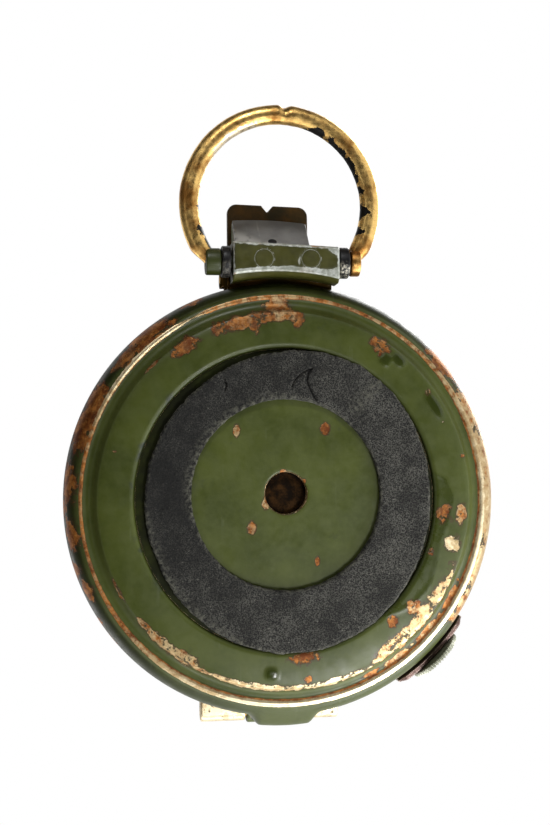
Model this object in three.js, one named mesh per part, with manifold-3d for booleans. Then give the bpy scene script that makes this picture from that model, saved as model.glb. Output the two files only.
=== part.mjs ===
// Prismatic marching compass with its lid closed, lying on the pad of its back.
// Millimetres, +Z up. The thumb ring and the prism point to -Y, the lid hinge to +Y.
import * as THREE from 'three';
import { mergeVertices } from 'three/addons/utils/BufferGeometryUtils.js';
import Module from 'manifold-3d';

// Clearances
const SEAT = 0.05; // between pieces that are seated on each other
const RUN = 0.1; // round a pin or a ring that turns
const SIDE = 0.3; // beside a piece that turns

// Facets round a turned piece
const ROUND = 40;
const SMALL_ROUND = 16;
const ARC_STEPS = 4;

// How far a cutting tool reaches past the face that it cuts
const OVERRUN = 1;

// Case
const CASE_RADIUS = 33.2;
const FLARE = 2.6; // how far the wall spreads from the bead to its widest
const FLARE_HEIGHT = 4.65;
const BEAD_PROUD = 0.4; // of the bead below the bottom of the cove
const COVE_WIDTH = 2.3; // hollow band between the back's ridge and the bead
const COVE_DEPTH = 1.35;
const RIDGE_DROP = 0.55; // how far the back's band falls away towards the ridge
const BACK_BAND = 4.7; // painted band between the pad's recess and the ridge
const SHOULDER_ROUND = 0.6;
const PAD_PROUD = 0.35;
const COVER_LAND = 2.85; // ledge between the recess edge and the back cover
const WEB_REACH = 3.25; // how far the inner web overlaps the back cover
const WEB_RISE = 0.7; // of the inner web above the diaphragm
const HEADROOM = 0.1; // between the jewel and the ledge of the dial glass
const GLASS_LEDGE = 1.6;
const SPIGOT_WALL = 1.8;
const SPIGOT_HEIGHT = 2.6;
const SPIGOT_RIM = 0.35;
const CASE_SHOULDER = 2.2; // width of the step that the bezel runs on

// Back
const PAD_THICKNESS = 1.1;
const PAD_MARGIN = 1.3; // groove between the pad and the edge of its recess
const PAD_WIDTH = 8;
const COVER_THICKNESS = 1.1;
const VENT_RADIUS = 3.15;
const VENT_OFFSET = -0.9; // the vent lies a little towards the thumb ring
const PAD_WINDOW_OFFSET = -0.7;
const DIAPHRAGM_THICKNESS = 0.35;
const DIAPHRAGM_WAVE = 0.6;
const DIAPHRAGM_WAVES = 2;

// Dial and its pivot
const DIAL_MARGIN = 1.6;
const DIAL_THICKNESS = 0.4;
const BRIDGE_WIDTH = 5;
const BRIDGE_THICKNESS = 1.2;
const BRIDGE_MARGIN = 1;
const BRIDGE_SCREW_RADIUS = 0.8;
const BRIDGE_SCREW_HEAD = 1.5;
const BRIDGE_SCREW_HEAD_HEIGHT = 0.7;
const BRIDGE_SCREW_DEPTH = 1.8;
const PIVOT_RADIUS = 1.2;
const PIVOT_COLLAR = 0.7;
const PIVOT_COLLAR_HEIGHT = 0.6;
const PIVOT_NECK = 0.5;
const PIVOT_POINT = 1;
const JEWEL_RADIUS = 1.5;
const JEWEL_WALL = 0.6;
const JEWEL_CROWN = 0.7; // metal above the jewel's hollow
const JEWEL_DEPTH = 1.7;
const JEWEL_ABOVE_DIAL = 1.0;
const MAGNET_LENGTH = 26;
const MAGNET_WIDTH = 2.2;
const MAGNET_HEIGHT = 1.8;
const MAGNET_SPACING = 10;
const MAGNET_CLEARANCE = 1.6; // above the bridge

// Glasses and the rings that hold them
const SEAL_THICKNESS = 0.6;
const DIAL_GLASS_THICKNESS = 1.5;
const RETAINER_THICKNESS = 1.3;
const RETAINER_WIDTH = 1.4;

// Bezel
const BEZEL_WALL = 1.3;
const BEZEL_LEDGE = 0.4;
const BEZEL_LEDGE_WIDTH = 1.6;
const BEZEL_RIM = 2.2; // rim round the bezel glass
const BEZEL_GLASS_THICKNESS = 0.7;
const BEZEL_GLASS_RING = 0.45;
const KNURL_DEPTH = 0.35;
const KNURL_TEETH = 72;
const SNAP_WIRE = 0.6;
const SNAP_DEPTH = 0.35;
const SNAP_SPLIT = 2;

// Bezel clamp, on the side of the case
const CLAMP_AZIMUTH = 45.5;
const CLAMP_TRAVEL = 0.5;
const CLAMP_LENGTH = 14;
const CLAMP_THICKNESS = 0.85;
const CLAMP_BELOW_STEP = 5; // how far the plate reaches down the wall
const CLAMP_LIP_DROP = 0.4;
const KNOB_RADIUS = 4.35;
const KNOB_THICKNESS = 1.0;
const KNOB_TEETH = 40;
const KNOB_KNURL = 0.25;
const STUD_RADIUS = 1.2;
const STUD_REACH = 2.4; // into the case wall
const STUD_BELOW_STEP = 3;

// Lid
const LID_HEIGHT = 8.1;
const LID_WALL = 1.4;
const LID_TOP = 1.8;
const LID_EDGE_ROUND = 1.6;
const LID_BEVEL = 0.5; // round the window
const LID_WINDOW_RADIUS = 19.6;
const LID_GLASS_THICKNESS = 1.5;
const LID_GLASS_LAP = 2;
const LID_COLLAR = 1.5;
const LID_RING_THICKNESS = 1.2;
const KNUCKLE_RADIUS = 1.8;
const KNUCKLE_LENGTH = 5.9;
const LUG_WIDTH = 8.6;
const LUG_PROUD = 1.5;
const LUG_FOOT = 4; // height of the lug's lower end
const HINGE_PIN_RADIUS = 0.8;
const TONGUE_WIDTH = 13.1;
const TONGUE_THICKNESS = 1.6;
const TONGUE_PAST_PRISM = 3.4;
const TONGUE_CORNER = 1.5;
const NOTCH_WIDTH = 1.6;
const NOTCH_DEPTH = 1.1;

// Prism and its bracket
const PRISM_WIDTH = 12;
const PRISM_LEG = 11;
const PRISM_TIP = 0.8;
const PRISM_SKIN = 1.2; // housing above the hinge axis
const PRISM_BACK = 0.9; // housing behind the hinge axis
const PRISM_CHEEK = 1.4;
const PRISM_WALL = 0.8;
const PRISM_PIN_WALL = 0.3; // between the hinge pin's bore and the prism's pocket
const PRISM_COVER = 0.7;
const PRISM_SIGHT_RADIUS = 0.5;
const WINDOW_PLATE = 0.65;
const WINDOW_MARGIN = 1.2;
const EYE_RADIUS = 1.5;
const EYE_DROP = 3;
const LENS_THICKNESS = 1.2;
const LENS_CROWN = 0.25;
const LENS_INSET = 0.2;
const EAR_WIDTH = 1.8;
const EAR_RADIUS = 1.4;
const PRISM_PIN_RADIUS = 0.7;
const BRACKET_PLATE = 1.2;
const BRACKET_GAP = 0.8; // between the bracket and the stowed prism
const SHELF_THICKNESS = 1.2;
const BRACKET_FLAT = 1; // depth of the flat on the case wall
const BRACKET_SCREW_RADIUS = 0.8;
const BRACKET_SCREW_HEAD = 1.5;
const BRACKET_SCREW_LENGTH = 4;
const BRACKET_SCREW_SPACING = 8;

// Thumb ring and its block
const BLOCK_LIFT = 0.45; // of the block above the face of the pad
const BLOCK_DEPTH = 5.4; // in the middle, where its hollowed end meets the case
const BLOCK_HEIGHT = 5;
const BLOCK_SLOPE = 1.7;
const BLOCK_SLOPE_RISE = 1.2;
const BLOCK_EDGE = 0.6;
const BLOCK_SCREW_RADIUS = 0.8;
const BLOCK_SCREW_HEAD = 1.3;
const BLOCK_SCREW_HEAD_HEIGHT = 1;
const BLOCK_SCREW_INSET = 2.45; // from the block's outer face
const BLOCK_SCREW_WALL = 0.7; // between a screw and the end of a ring pivot
const RING_PIVOT_INSET = 2.65; // from the block's outer face
const RING_PIVOT_HEIGHT = 2.5; // above the block's lower face
const RING_PIVOT_RADIUS = 0.85;
const RING_PIVOT_SEAT = 3; // length of the pin inside the block
const RING_WIRE = 1.4;
const RING_SPREAD = 3.1; // how far the ring swells past its eyes on each side
const RING_EYE_RADIUS = 2.1;
const RING_EYE_LENGTH = 1.7; // for each unit of the wire's radius
const RING_STEPS = 36;
const WIRE_SIDES = 12;
const WASHER_RADIUS = 2.55;
const WASHER_THICKNESS = 1.4;

// Radii, from the case wall inwards
const beadR = CASE_RADIUS - FLARE;
const ridgeR = beadR - COVE_WIDTH;
const coveR = beadR - COVE_WIDTH / 2;
const recessR = ridgeR - BACK_BAND;
const padR = recessR - PAD_MARGIN;
const coverR = recessR - COVER_LAND;
const webR = coverR - WEB_REACH;
const spigotR = CASE_RADIUS - CASE_SHOULDER;
const spigotIn = spigotR - SPIGOT_WALL;
const bowlR = spigotIn - GLASS_LEDGE;
const bezelIn = spigotR + RUN + SEAT;
const bezelR = bezelIn + BEZEL_WALL;
const lidR = bezelR;
const bezelGlassR = bezelR - BEZEL_RIM;
const lidGlassR = LID_WINDOW_RADIUS + LID_GLASS_LAP;

// Heights, stacked from the face of the pad upwards
const backZ = PAD_PROUD;
const recessZ = PAD_THICKNESS + SEAT;
const ridgeZ = backZ + RIDGE_DROP;
const beadZ = ridgeZ + COVE_DEPTH - BEAD_PROUD;
const flareZ = beadZ + FLARE_HEIGHT;
const coverTop = recessZ + COVER_THICKNESS;
const diaphragmZ = coverTop + SEAT;
const webZ = diaphragmZ + DIAPHRAGM_THICKNESS + SEAT;
const floorZ = webZ + DIAPHRAGM_WAVE + WEB_RISE;
const bridgeZ = floorZ + SEAT;
const bridgeTop = bridgeZ + BRIDGE_THICKNESS;
const magnetZ = bridgeTop + MAGNET_CLEARANCE;
const dialZ = magnetZ + MAGNET_HEIGHT + SEAT;
const dialTop = dialZ + DIAL_THICKNESS;
const jewelTop = dialTop + JEWEL_ABOVE_DIAL;
const pivotTip = jewelTop - JEWEL_CROWN - RUN;
const ledgeZ = jewelTop + HEADROOM;
const sealZ = ledgeZ + SEAT;
const dialGlassZ = sealZ + SEAL_THICKNESS + SEAT;
const retainerZ = dialGlassZ + DIAL_GLASS_THICKNESS + SEAT;
const spigotTop = retainerZ + RETAINER_THICKNESS + SPIGOT_RIM;
const stepZ = spigotTop - SPIGOT_HEIGHT;
const bezelZ = stepZ + SIDE;
const bezelLedgeZ = spigotTop + SIDE;
const bezelGlassZ = bezelLedgeZ + BEZEL_LEDGE + SEAT;
const bezelRingZ = bezelGlassZ + BEZEL_GLASS_THICKNESS + SEAT;
const bezelTop = bezelRingZ + BEZEL_GLASS_RING;
const lidZ = bezelTop + SIDE;
const lidTop = lidZ + LID_HEIGHT;
const hingeZ = lidZ + KNUCKLE_RADIUS;
const blockZ = BLOCK_LIFT;
const blockTop = blockZ + BLOCK_HEIGHT;
const bracketZ = blockTop + SEAT;
const shelfTop = bracketZ + SHELF_THICKNESS;
const prismTop = Math.max(
  bezelTop + SIDE + 2 * PRISM_SKIN,
  shelfTop + SIDE + PRISM_COVER + PRISM_LEG - PRISM_TIP,
);
const prismZ = prismTop - PRISM_SKIN;
const tongueZ = prismZ + Math.max(EAR_RADIUS, PRISM_SKIN) + SIDE;

// Places along Y
const hingeY = bezelR + SIDE + KNUCKLE_RADIUS;
const flatY = -(CASE_RADIUS - BRACKET_FLAT);
const bracketY = flatY - SEAT;
const plateY = bracketY - BRACKET_PLATE;
const prismIn = plateY - BRACKET_GAP;
const prismY = prismIn - PRISM_BACK;
const prismTipY = prismIn - PRISM_LEG + PRISM_TIP;
const tongueY = prismTipY - TONGUE_PAST_PRISM;
const blockIn = -(CASE_RADIUS + SEAT);
const blockY = blockIn - BLOCK_DEPTH;
const blockScrewY = blockY + BLOCK_SCREW_INSET;
const ringY = blockY + RING_PIVOT_INSET;
const ringZ = blockZ + RING_PIVOT_HEIGHT;

// Places along X
const halfBracket = PRISM_WIDTH / 2 + SIDE + EAR_WIDTH;
const pivotEnd = halfBracket - RING_PIVOT_SEAT;
const blockScrewX = pivotEnd - BLOCK_SCREW_WALL - BLOCK_SCREW_RADIUS;
const washerX = halfBracket + SEAT;
const eyeX = washerX + WASHER_THICKNESS + RUN;
const eyeEnd = eyeX + RING_EYE_LENGTH * RING_WIRE;
const ringMeanR = (eyeX + eyeEnd) / 2 + RING_SPREAD;

const wasm = await Module();
wasm.setup();

// Leaves only the corners and faces: shared corners are merged, collapsed faces dropped.
function bare(geometry) {
  geometry.deleteAttribute('normal');
  geometry.deleteAttribute('uv');
  const merged = mergeVertices(geometry, 1e-4);
  const faces = [];
  for (let i = 0; i < merged.index.count; i += 3) {
    const corners = [0, 1, 2].map((k) => merged.index.getX(i + k));
    if (new Set(corners).size === 3) faces.push(...corners);
  }
  merged.setIndex(faces);
  return merged;
}

function solidOf(geometry) {
  const closed = bare(geometry);
  return new wasm.Manifold(new wasm.Mesh({
    numProp: 3,
    vertProperties: new Float32Array(closed.attributes.position.array),
    triVerts: new Uint32Array(closed.index.array),
  }));
}

function geometryOf(solid) {
  const mesh = solid.getMesh();
  const geometry = new THREE.BufferGeometry();
  geometry.setAttribute('position', new THREE.BufferAttribute(mesh.vertProperties, 3));
  geometry.setIndex(new THREE.BufferAttribute(mesh.triVerts, 1));
  return geometry;
}

function joined(first, ...others) {
  return geometryOf(others.reduce((sum, next) => sum.add(solidOf(next)), solidOf(first)));
}

function cut(first, ...tools) {
  return geometryOf(tools.reduce((left, tool) => left.subtract(solidOf(tool)), solidOf(first)));
}

// A piece turned about Z from [radius, height] corners, on the axis at both ends or closed.
function turned(corners, facets = ROUND) {
  const points = corners.map(([r, z]) => new THREE.Vector2(r, z));
  const solidCore = corners[0][0] === 0 && corners.at(-1)[0] === 0;
  if (!solidCore) points.push(points[0].clone());
  return bare(new THREE.LatheGeometry(points, facets).rotateX(Math.PI / 2));
}

function ringBetween(inner, outer, low, high, facets = ROUND) {
  return turned([[inner, low], [outer, low], [outer, high], [inner, high]], facets);
}

function discOf(radius, low, high, facets = ROUND) {
  return turned([[0, low], [radius, low], [radius, high], [0, high]], facets);
}

// Corners on part of an ellipse about [r, z], between two angles in degrees
function arc([r, z], [acrossR, acrossZ], from, to) {
  const corners = [];
  for (let i = 0; i <= ARC_STEPS; i += 1) {
    const angle = THREE.MathUtils.degToRad(from + ((to - from) * i) / ARC_STEPS);
    corners.push([r + acrossR * Math.cos(angle), z + acrossZ * Math.sin(angle)]);
  }
  return corners;
}

function outline(corners) {
  return new THREE.Shape(corners.map(([x, y]) => new THREE.Vector2(x, y)));
}

function circle(radius, x = 0, y = 0) {
  return new THREE.Shape().absarc(x, y, radius, 0, 2 * Math.PI);
}

// A flat outline in X and Y, raised from one height to another. An arc gets two facets a segment.
function raised(shape, low, high, facets = ROUND) {
  const options = { depth: high - low, bevelEnabled: false, curveSegments: facets / 2 };
  return bare(new THREE.ExtrudeGeometry(shape, options).translate(0, 0, low));
}

// An outline in Y and Z, drawn out along X.
function drawnAlongX(shape, from, to, facets = SMALL_ROUND) {
  const options = { depth: to - from, bevelEnabled: false, curveSegments: facets / 2 };
  const turn = new THREE.Matrix4().makeBasis(
    new THREE.Vector3(0, 1, 0),
    new THREE.Vector3(0, 0, 1),
    new THREE.Vector3(1, 0, 0),
  );
  return bare(new THREE.ExtrudeGeometry(shape, options).applyMatrix4(turn).translate(from, 0, 0));
}

function block(x0, x1, y0, y1, z0, z1) {
  const box = new THREE.BoxGeometry(x1 - x0, y1 - y0, z1 - z0);
  return bare(box.translate((x0 + x1) / 2, (y0 + y1) / 2, (z0 + z1) / 2));
}

function rodX(radius, x0, x1, y, z) {
  const rod = new THREE.CylinderGeometry(radius, radius, x1 - x0, SMALL_ROUND).rotateZ(Math.PI / 2);
  return bare(rod.translate((x0 + x1) / 2, y, z));
}

function rodY(radiusLow, radiusHigh, x, y0, y1, z) {
  const rod = new THREE.CylinderGeometry(radiusHigh, radiusLow, y1 - y0, SMALL_ROUND);
  return bare(rod.translate(x, (y0 + y1) / 2, z));
}

function rodZ(radius, x, y, z0, z1) {
  return discOf(radius, z0, z1, SMALL_ROUND).translate(x, y, 0);
}

// A round outline with straight ridges all the way round it.
function knurled(radius, depth, teeth) {
  const corners = [];
  for (let i = 0; i < 2 * teeth; i += 1) {
    const angle = (i * Math.PI) / teeth;
    const r = i % 2 ? radius - depth : radius;
    corners.push([r * Math.cos(angle), r * Math.sin(angle)]);
  }
  return outline(corners);
}

function finish(color, roughness, metalness) {
  return new THREE.MeshStandardMaterial({ color, roughness, metalness });
}

const olivePaint = finish(0x4a552e, 0.45, 0.1);
const darkPaint = finish(0x3a3a1c, 0.5, 0.1);
const greyPaint = finish(0x6a6a68, 0.5, 0.2);
const brass = finish(0xb08a3c, 0.35, 0.9);
const steel = finish(0x8a8c8e, 0.35, 0.9);
const blackRubber = finish(0x2c2c2e, 0.9, 0);
const sealRubber = finish(0x1c1c1c, 0.8, 0);
const glass = finish(0xdfe8e6, 0.05, 0);
const dialWhite = finish(0xe6e2d2, 0.5, 0);

const compass = new THREE.Group();

function add(name, geometry, material, parent = compass) {
  const mesh = new THREE.Mesh(geometry, material);
  mesh.name = name;
  parent.add(mesh);
}

// Fixing places that two pieces share
const bridgeScrewX = (webR + bowlR) / 2;
const bracketScrewZ = (shelfTop + stepZ) / 2;
const clampAngle = THREE.MathUtils.degToRad(CLAMP_AZIMUTH);
const studZ = stepZ - STUD_BELOW_STEP;
const snapZ = (bezelZ + bezelLedgeZ) / 2 - SNAP_WIRE / 2;
const snapTop = snapZ + SNAP_WIRE;

// Case: one turned shell with the lid-hinge lug, a flat for the prism bracket and its screw holes
function caseWall() {
  const bandIn = recessR + SHOULDER_ROUND;
  return turned([
    [coverR, recessZ],
    ...arc([bandIn, recessZ], [SHOULDER_ROUND, recessZ - backZ], 180, 270),
    ...arc([bandIn, ridgeZ], [ridgeR - bandIn, RIDGE_DROP], 270, 360).slice(1),
    ...arc([coveR, ridgeZ], [coveR - ridgeR, COVE_DEPTH], 180, 90).slice(1),
    ...arc([beadR, flareZ], [FLARE, FLARE_HEIGHT], 270, 360),
    [CASE_RADIUS, stepZ],
    [spigotR, stepZ],
    [spigotR, snapZ - RUN],
    [spigotR - SNAP_DEPTH, snapZ - RUN],
    [spigotR - SNAP_DEPTH, snapTop + RUN],
    [spigotR, snapTop + RUN],
    [spigotR, spigotTop],
    [spigotIn, spigotTop],
    [spigotIn, ledgeZ],
    [bowlR, ledgeZ],
    [bowlR, floorZ],
    [webR, floorZ],
    [webR, webZ],
    [coverR, webZ],
  ]);
}

function caseShell() {
  const half = LUG_WIDTH / 2;
  const lug = block(-half, half, bezelR + SIDE, CASE_RADIUS + LUG_PROUD, LUG_FOOT, hingeZ);
  const knuckle = rodX(KNUCKLE_RADIUS, -half, half, hingeY, hingeZ);
  const pinBore = rodX(HINGE_PIN_RADIUS + SEAT, -half - OVERRUN, half + OVERRUN, hingeY, hingeZ);
  const flatHalf = halfBracket + SIDE;
  const flat = block(-flatHalf, flatHalf, 2 * flatY, flatY, bracketZ - SEAT, stepZ + SEAT);
  const studEnd = CASE_RADIUS - STUD_REACH - CLAMP_TRAVEL - SIDE;
  const studHole = rodX(STUD_RADIUS + RUN, studEnd, CASE_RADIUS + OVERRUN, 0, studZ).rotateZ(clampAngle);
  const holes = [];
  for (const side of [-1, 1]) {
    const screwX = (side * BRACKET_SCREW_SPACING) / 2;
    const screwEnd = plateY + BRACKET_SCREW_LENGTH + SIDE;
    const screwR = BRACKET_SCREW_RADIUS + SEAT;
    holes.push(rodY(screwR, screwR, screwX, flatY - OVERRUN, screwEnd, bracketScrewZ));
    const bridgeEnd = floorZ - BRIDGE_SCREW_DEPTH - SEAT;
    holes.push(rodZ(BRIDGE_SCREW_RADIUS + SEAT, side * bridgeScrewX, 0, bridgeEnd, floorZ + OVERRUN));
  }
  return cut(joined(caseWall(), lug, knuckle), pinBore, flat, studHole, ...holes);
}
add('case_shell', caseShell(), olivePaint);

// Back: the cover with its vent, the pad glued over the joint, the diaphragm behind the vent
function backCover() {
  const disc = circle(coverR - SEAT);
  disc.holes.push(circle(VENT_RADIUS, 0, VENT_OFFSET));
  return raised(disc, recessZ, coverTop);
}
add('back_cover', backCover(), olivePaint);

function backPad() {
  const pad = circle(padR);
  pad.holes.push(circle(padR - PAD_WIDTH, 0, PAD_WINDOW_OFFSET));
  return raised(pad, 0, PAD_THICKNESS);
}
add('back_pad', backPad(), blackRubber);

function diaphragm() {
  const rim = webR - SIDE;
  const steps = 4 * DIAPHRAGM_WAVES;
  const lower = [];
  for (let i = 0; i <= steps; i += 1) {
    const lift = (DIAPHRAGM_WAVE / 2) * (1 - Math.cos((2 * Math.PI * DIAPHRAGM_WAVES * i) / steps));
    lower.push([(rim * i) / steps, diaphragmZ + lift]);
  }
  lower.push([coverR - RUN, diaphragmZ]);
  const upper = lower.map(([r, z]) => [r, z + DIAPHRAGM_THICKNESS]).reverse();
  return turned([...lower, ...upper], ROUND / 2);
}
add('diaphragm', diaphragm(), brass);

// Pivot: a bridge across the bowl, its two screws and the pointed post
function pivotBridge() {
  const half = bowlR - BRIDGE_MARGIN;
  const bar = block(-half, half, -BRIDGE_WIDTH / 2, BRIDGE_WIDTH / 2, bridgeZ, bridgeTop);
  const low = bridgeZ - OVERRUN;
  const high = bridgeTop + OVERRUN;
  return cut(
    bar,
    rodZ(PIVOT_RADIUS + SEAT, 0, 0, low, high),
    rodZ(BRIDGE_SCREW_RADIUS + SEAT, -bridgeScrewX, 0, low, high),
    rodZ(BRIDGE_SCREW_RADIUS + SEAT, bridgeScrewX, 0, low, high),
  );
}
add('pivot_bridge', pivotBridge(), brass);

function bridgeScrew() {
  const end = floorZ - BRIDGE_SCREW_DEPTH;
  const headZ = bridgeTop + SEAT;
  const headTop = headZ + BRIDGE_SCREW_HEAD_HEIGHT;
  return turned([
    [0, end],
    [BRIDGE_SCREW_RADIUS, end],
    [BRIDGE_SCREW_RADIUS, headZ],
    [BRIDGE_SCREW_HEAD, headZ],
    [BRIDGE_SCREW_HEAD, headTop],
    [0, headTop],
  ], SMALL_ROUND);
}
add('bridge_screw_left', bridgeScrew().translate(-bridgeScrewX, 0, 0), steel);
add('bridge_screw_right', bridgeScrew().translate(bridgeScrewX, 0, 0), steel);

function pivotPost() {
  const collarZ = bridgeTop + SEAT;
  const collarTop = collarZ + PIVOT_COLLAR_HEIGHT;
  return turned([
    [0, bridgeZ],
    [PIVOT_RADIUS, bridgeZ],
    [PIVOT_RADIUS, collarZ],
    [PIVOT_RADIUS + PIVOT_COLLAR, collarZ],
    [PIVOT_RADIUS + PIVOT_COLLAR, collarTop],
    [PIVOT_NECK, collarTop],
    [PIVOT_NECK, pivotTip - PIVOT_POINT],
    [0, pivotTip],
  ], SMALL_ROUND);
}
add('pivot_post', pivotPost(), steel);

// Dial: the card on its jewel, with a pair of bar magnets below it
function jewelCap() {
  const low = pivotTip + RUN - JEWEL_DEPTH;
  return turned([
    [0, pivotTip + RUN],
    [JEWEL_RADIUS - JEWEL_WALL, low],
    [JEWEL_RADIUS, low],
    [JEWEL_RADIUS, dialTop],
    [JEWEL_RADIUS - JEWEL_WALL, jewelTop],
    [0, jewelTop],
  ], SMALL_ROUND);
}
add('jewel_cap', jewelCap(), brass);
add('dial_card', ringBetween(JEWEL_RADIUS + RUN, bowlR - DIAL_MARGIN, dialZ, dialTop), dialWhite);

for (const [name, side] of [['magnet_left', -1], ['magnet_right', 1]]) {
  const x = (side * MAGNET_SPACING) / 2;
  const half = MAGNET_WIDTH / 2;
  const end = MAGNET_LENGTH / 2;
  add(name, block(x - half, x + half, -end, end, magnetZ, magnetZ + MAGNET_HEIGHT), steel);
}

// Dial glass on its seal, held by a screwed ring
const glassEdge = spigotIn - RUN;
add('glass_seal', ringBetween(bowlR, glassEdge, sealZ, sealZ + SEAL_THICKNESS), sealRubber);
add('dial_glass', discOf(glassEdge, dialGlassZ, dialGlassZ + DIAL_GLASS_THICKNESS), glass);
add(
  'glass_retainer',
  ringBetween(glassEdge - RETAINER_WIDTH, glassEdge, retainerZ, retainerZ + RETAINER_THICKNESS),
  brass,
);

// Bezel: a knurled ring that turns on the case's spigot and carries its own glass
function bezelRing() {
  const rim = raised(knurled(bezelR, KNURL_DEPTH, KNURL_TEETH), bezelZ, bezelTop);
  const hollow = turned([
    [0, bezelZ - OVERRUN],
    [bezelIn, bezelZ - OVERRUN],
    [bezelIn, snapZ - RUN],
    [bezelIn + SNAP_DEPTH, snapZ - RUN],
    [bezelIn + SNAP_DEPTH, snapTop + RUN],
    [bezelIn, snapTop + RUN],
    [bezelIn, bezelLedgeZ],
    [bezelGlassR - BEZEL_LEDGE_WIDTH, bezelLedgeZ],
    [bezelGlassR - BEZEL_LEDGE_WIDTH, bezelLedgeZ + BEZEL_LEDGE],
    [bezelGlassR, bezelLedgeZ + BEZEL_LEDGE],
    [bezelGlassR, bezelTop + OVERRUN],
    [0, bezelTop + OVERRUN],
  ]);
  return cut(rim, hollow);
}
add('bezel_ring', bezelRing(), brass);
add('bezel_glass', discOf(bezelGlassR - RUN, bezelGlassZ, bezelGlassZ + BEZEL_GLASS_THICKNESS), glass);
add(
  'bezel_glass_ring',
  ringBetween(bezelGlassR - BEZEL_LEDGE_WIDTH, bezelGlassR - RUN, bezelRingZ, bezelTop),
  darkPaint,
);

function bezelSnapRing() {
  const inner = spigotR - SNAP_DEPTH + RUN;
  const outer = bezelIn + SNAP_DEPTH - RUN - SEAT;
  const wire = ringBetween(inner, outer, snapZ, snapTop);
  const half = SNAP_SPLIT / 2;
  return cut(wire, block(0, 2 * outer, -half, half, snapZ - OVERRUN, snapTop + OVERRUN));
}
add('bezel_snap_ring', bezelSnapRing(), steel);

// Bezel clamp: a curved plate whose lip presses on the knurl, and the knob that draws it in
const clamp = new THREE.Group();
clamp.rotation.z = clampAngle;
compass.add(clamp);
const clampIn = CASE_RADIUS + CLAMP_TRAVEL + SEAT;
const clampOut = clampIn + CLAMP_THICKNESS;
const clampLow = stepZ - CLAMP_BELOW_STEP;

// A slice of a ring, as seen from above
function sector(inner, outer, length) {
  const half = length / 2 / outer;
  return new THREE.Shape().absarc(0, 0, outer, -half, half).absarc(0, 0, inner, half, -half, true);
}

function clampPlate() {
  const top = bezelTop - CLAMP_LIP_DROP;
  const plate = raised(sector(clampIn, clampOut, CLAMP_LENGTH), clampLow, top, SMALL_ROUND);
  const lipIn = bezelR + CLAMP_TRAVEL + SEAT;
  const lip = raised(sector(lipIn, clampOut, CLAMP_LENGTH), stepZ + SIDE, top, SMALL_ROUND);
  const studHole = rodX(STUD_RADIUS + SIDE, clampIn - OVERRUN, clampOut + OVERRUN, 0, studZ);
  return cut(joined(plate, lip), studHole);
}
add('clamp_plate', clampPlate(), darkPaint, clamp);

function clampKnob() {
  const knobIn = clampOut + SIDE;
  const head = raised(knurled(KNOB_RADIUS, KNOB_KNURL, KNOB_TEETH), knobIn, knobIn + KNOB_THICKNESS);
  const stud = discOf(STUD_RADIUS, CASE_RADIUS - STUD_REACH, knobIn + KNOB_THICKNESS / 2, SMALL_ROUND);
  return joined(head, stud).rotateY(Math.PI / 2).translate(0, 0, studZ);
}
add('clamp_knob', clampKnob(), steel, clamp);

// Lid: a shallow cap with a window, the tongue over the prism and two hinge knuckles
const lidGlassTop = lidTop - LID_TOP - SEAT;
const lidGlassZ = lidGlassTop - LID_GLASS_THICKNESS;
const lidRingTop = lidGlassZ - SEAT;
const knuckleIn = LUG_WIDTH / 2 + SIDE;
const knuckleOut = knuckleIn + KNUCKLE_LENGTH;

function lidTongue() {
  const half = TONGUE_WIDTH / 2;
  const root = -(lidR - LID_WALL + SIDE);
  const shape = new THREE.Shape();
  shape.moveTo(-half, root);
  shape.lineTo(-half, tongueY + TONGUE_CORNER);
  shape.quadraticCurveTo(-half, tongueY, -half + TONGUE_CORNER, tongueY);
  shape.lineTo(-NOTCH_WIDTH / 2, tongueY);
  shape.lineTo(0, tongueY + NOTCH_DEPTH);
  shape.lineTo(NOTCH_WIDTH / 2, tongueY);
  shape.lineTo(half - TONGUE_CORNER, tongueY);
  shape.quadraticCurveTo(half, tongueY, half, tongueY + TONGUE_CORNER);
  shape.lineTo(half, root);
  return raised(shape, tongueZ, tongueZ + TONGUE_THICKNESS, SMALL_ROUND / 4);
}

function lidKnuckle(from, to) {
  const root = lidR - LID_WALL - SIDE;
  const shape = new THREE.Shape();
  shape.moveTo(root, hingeZ - KNUCKLE_RADIUS);
  shape.lineTo(hingeY, hingeZ - KNUCKLE_RADIUS);
  shape.absarc(hingeY, hingeZ, KNUCKLE_RADIUS, -Math.PI / 2, Math.PI / 2);
  shape.lineTo(root, hingeZ + KNUCKLE_RADIUS);
  return drawnAlongX(shape, from, to);
}

function lidFrame() {
  const underTop = lidTop - LID_TOP;
  const inner = lidR - LID_WALL;
  const collarLow = lidRingTop - LID_RING_THICKNESS;
  const cap = turned([
    [inner, lidZ],
    [lidR, lidZ],
    ...arc([lidR - LID_EDGE_ROUND, lidTop - LID_EDGE_ROUND], [LID_EDGE_ROUND, LID_EDGE_ROUND], 0, 90),
    [LID_WINDOW_RADIUS + LID_BEVEL, lidTop],
    [LID_WINDOW_RADIUS, lidTop - LID_BEVEL],
    [LID_WINDOW_RADIUS, underTop],
    [lidGlassR + RUN, underTop],
    [lidGlassR + RUN, collarLow],
    [lidGlassR + RUN + LID_COLLAR, collarLow],
    [lidGlassR + RUN + LID_COLLAR, underTop],
    [inner, underTop],
  ]);
  const knuckles = [lidKnuckle(knuckleIn, knuckleOut), lidKnuckle(-knuckleOut, -knuckleIn)];
  const boreEnd = knuckleOut + OVERRUN;
  const pinBore = rodX(HINGE_PIN_RADIUS + RUN, -boreEnd, boreEnd, hingeY, hingeZ);
  return cut(joined(cap, lidTongue(), ...knuckles), pinBore);
}
add('lid_frame', lidFrame(), olivePaint);

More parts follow.
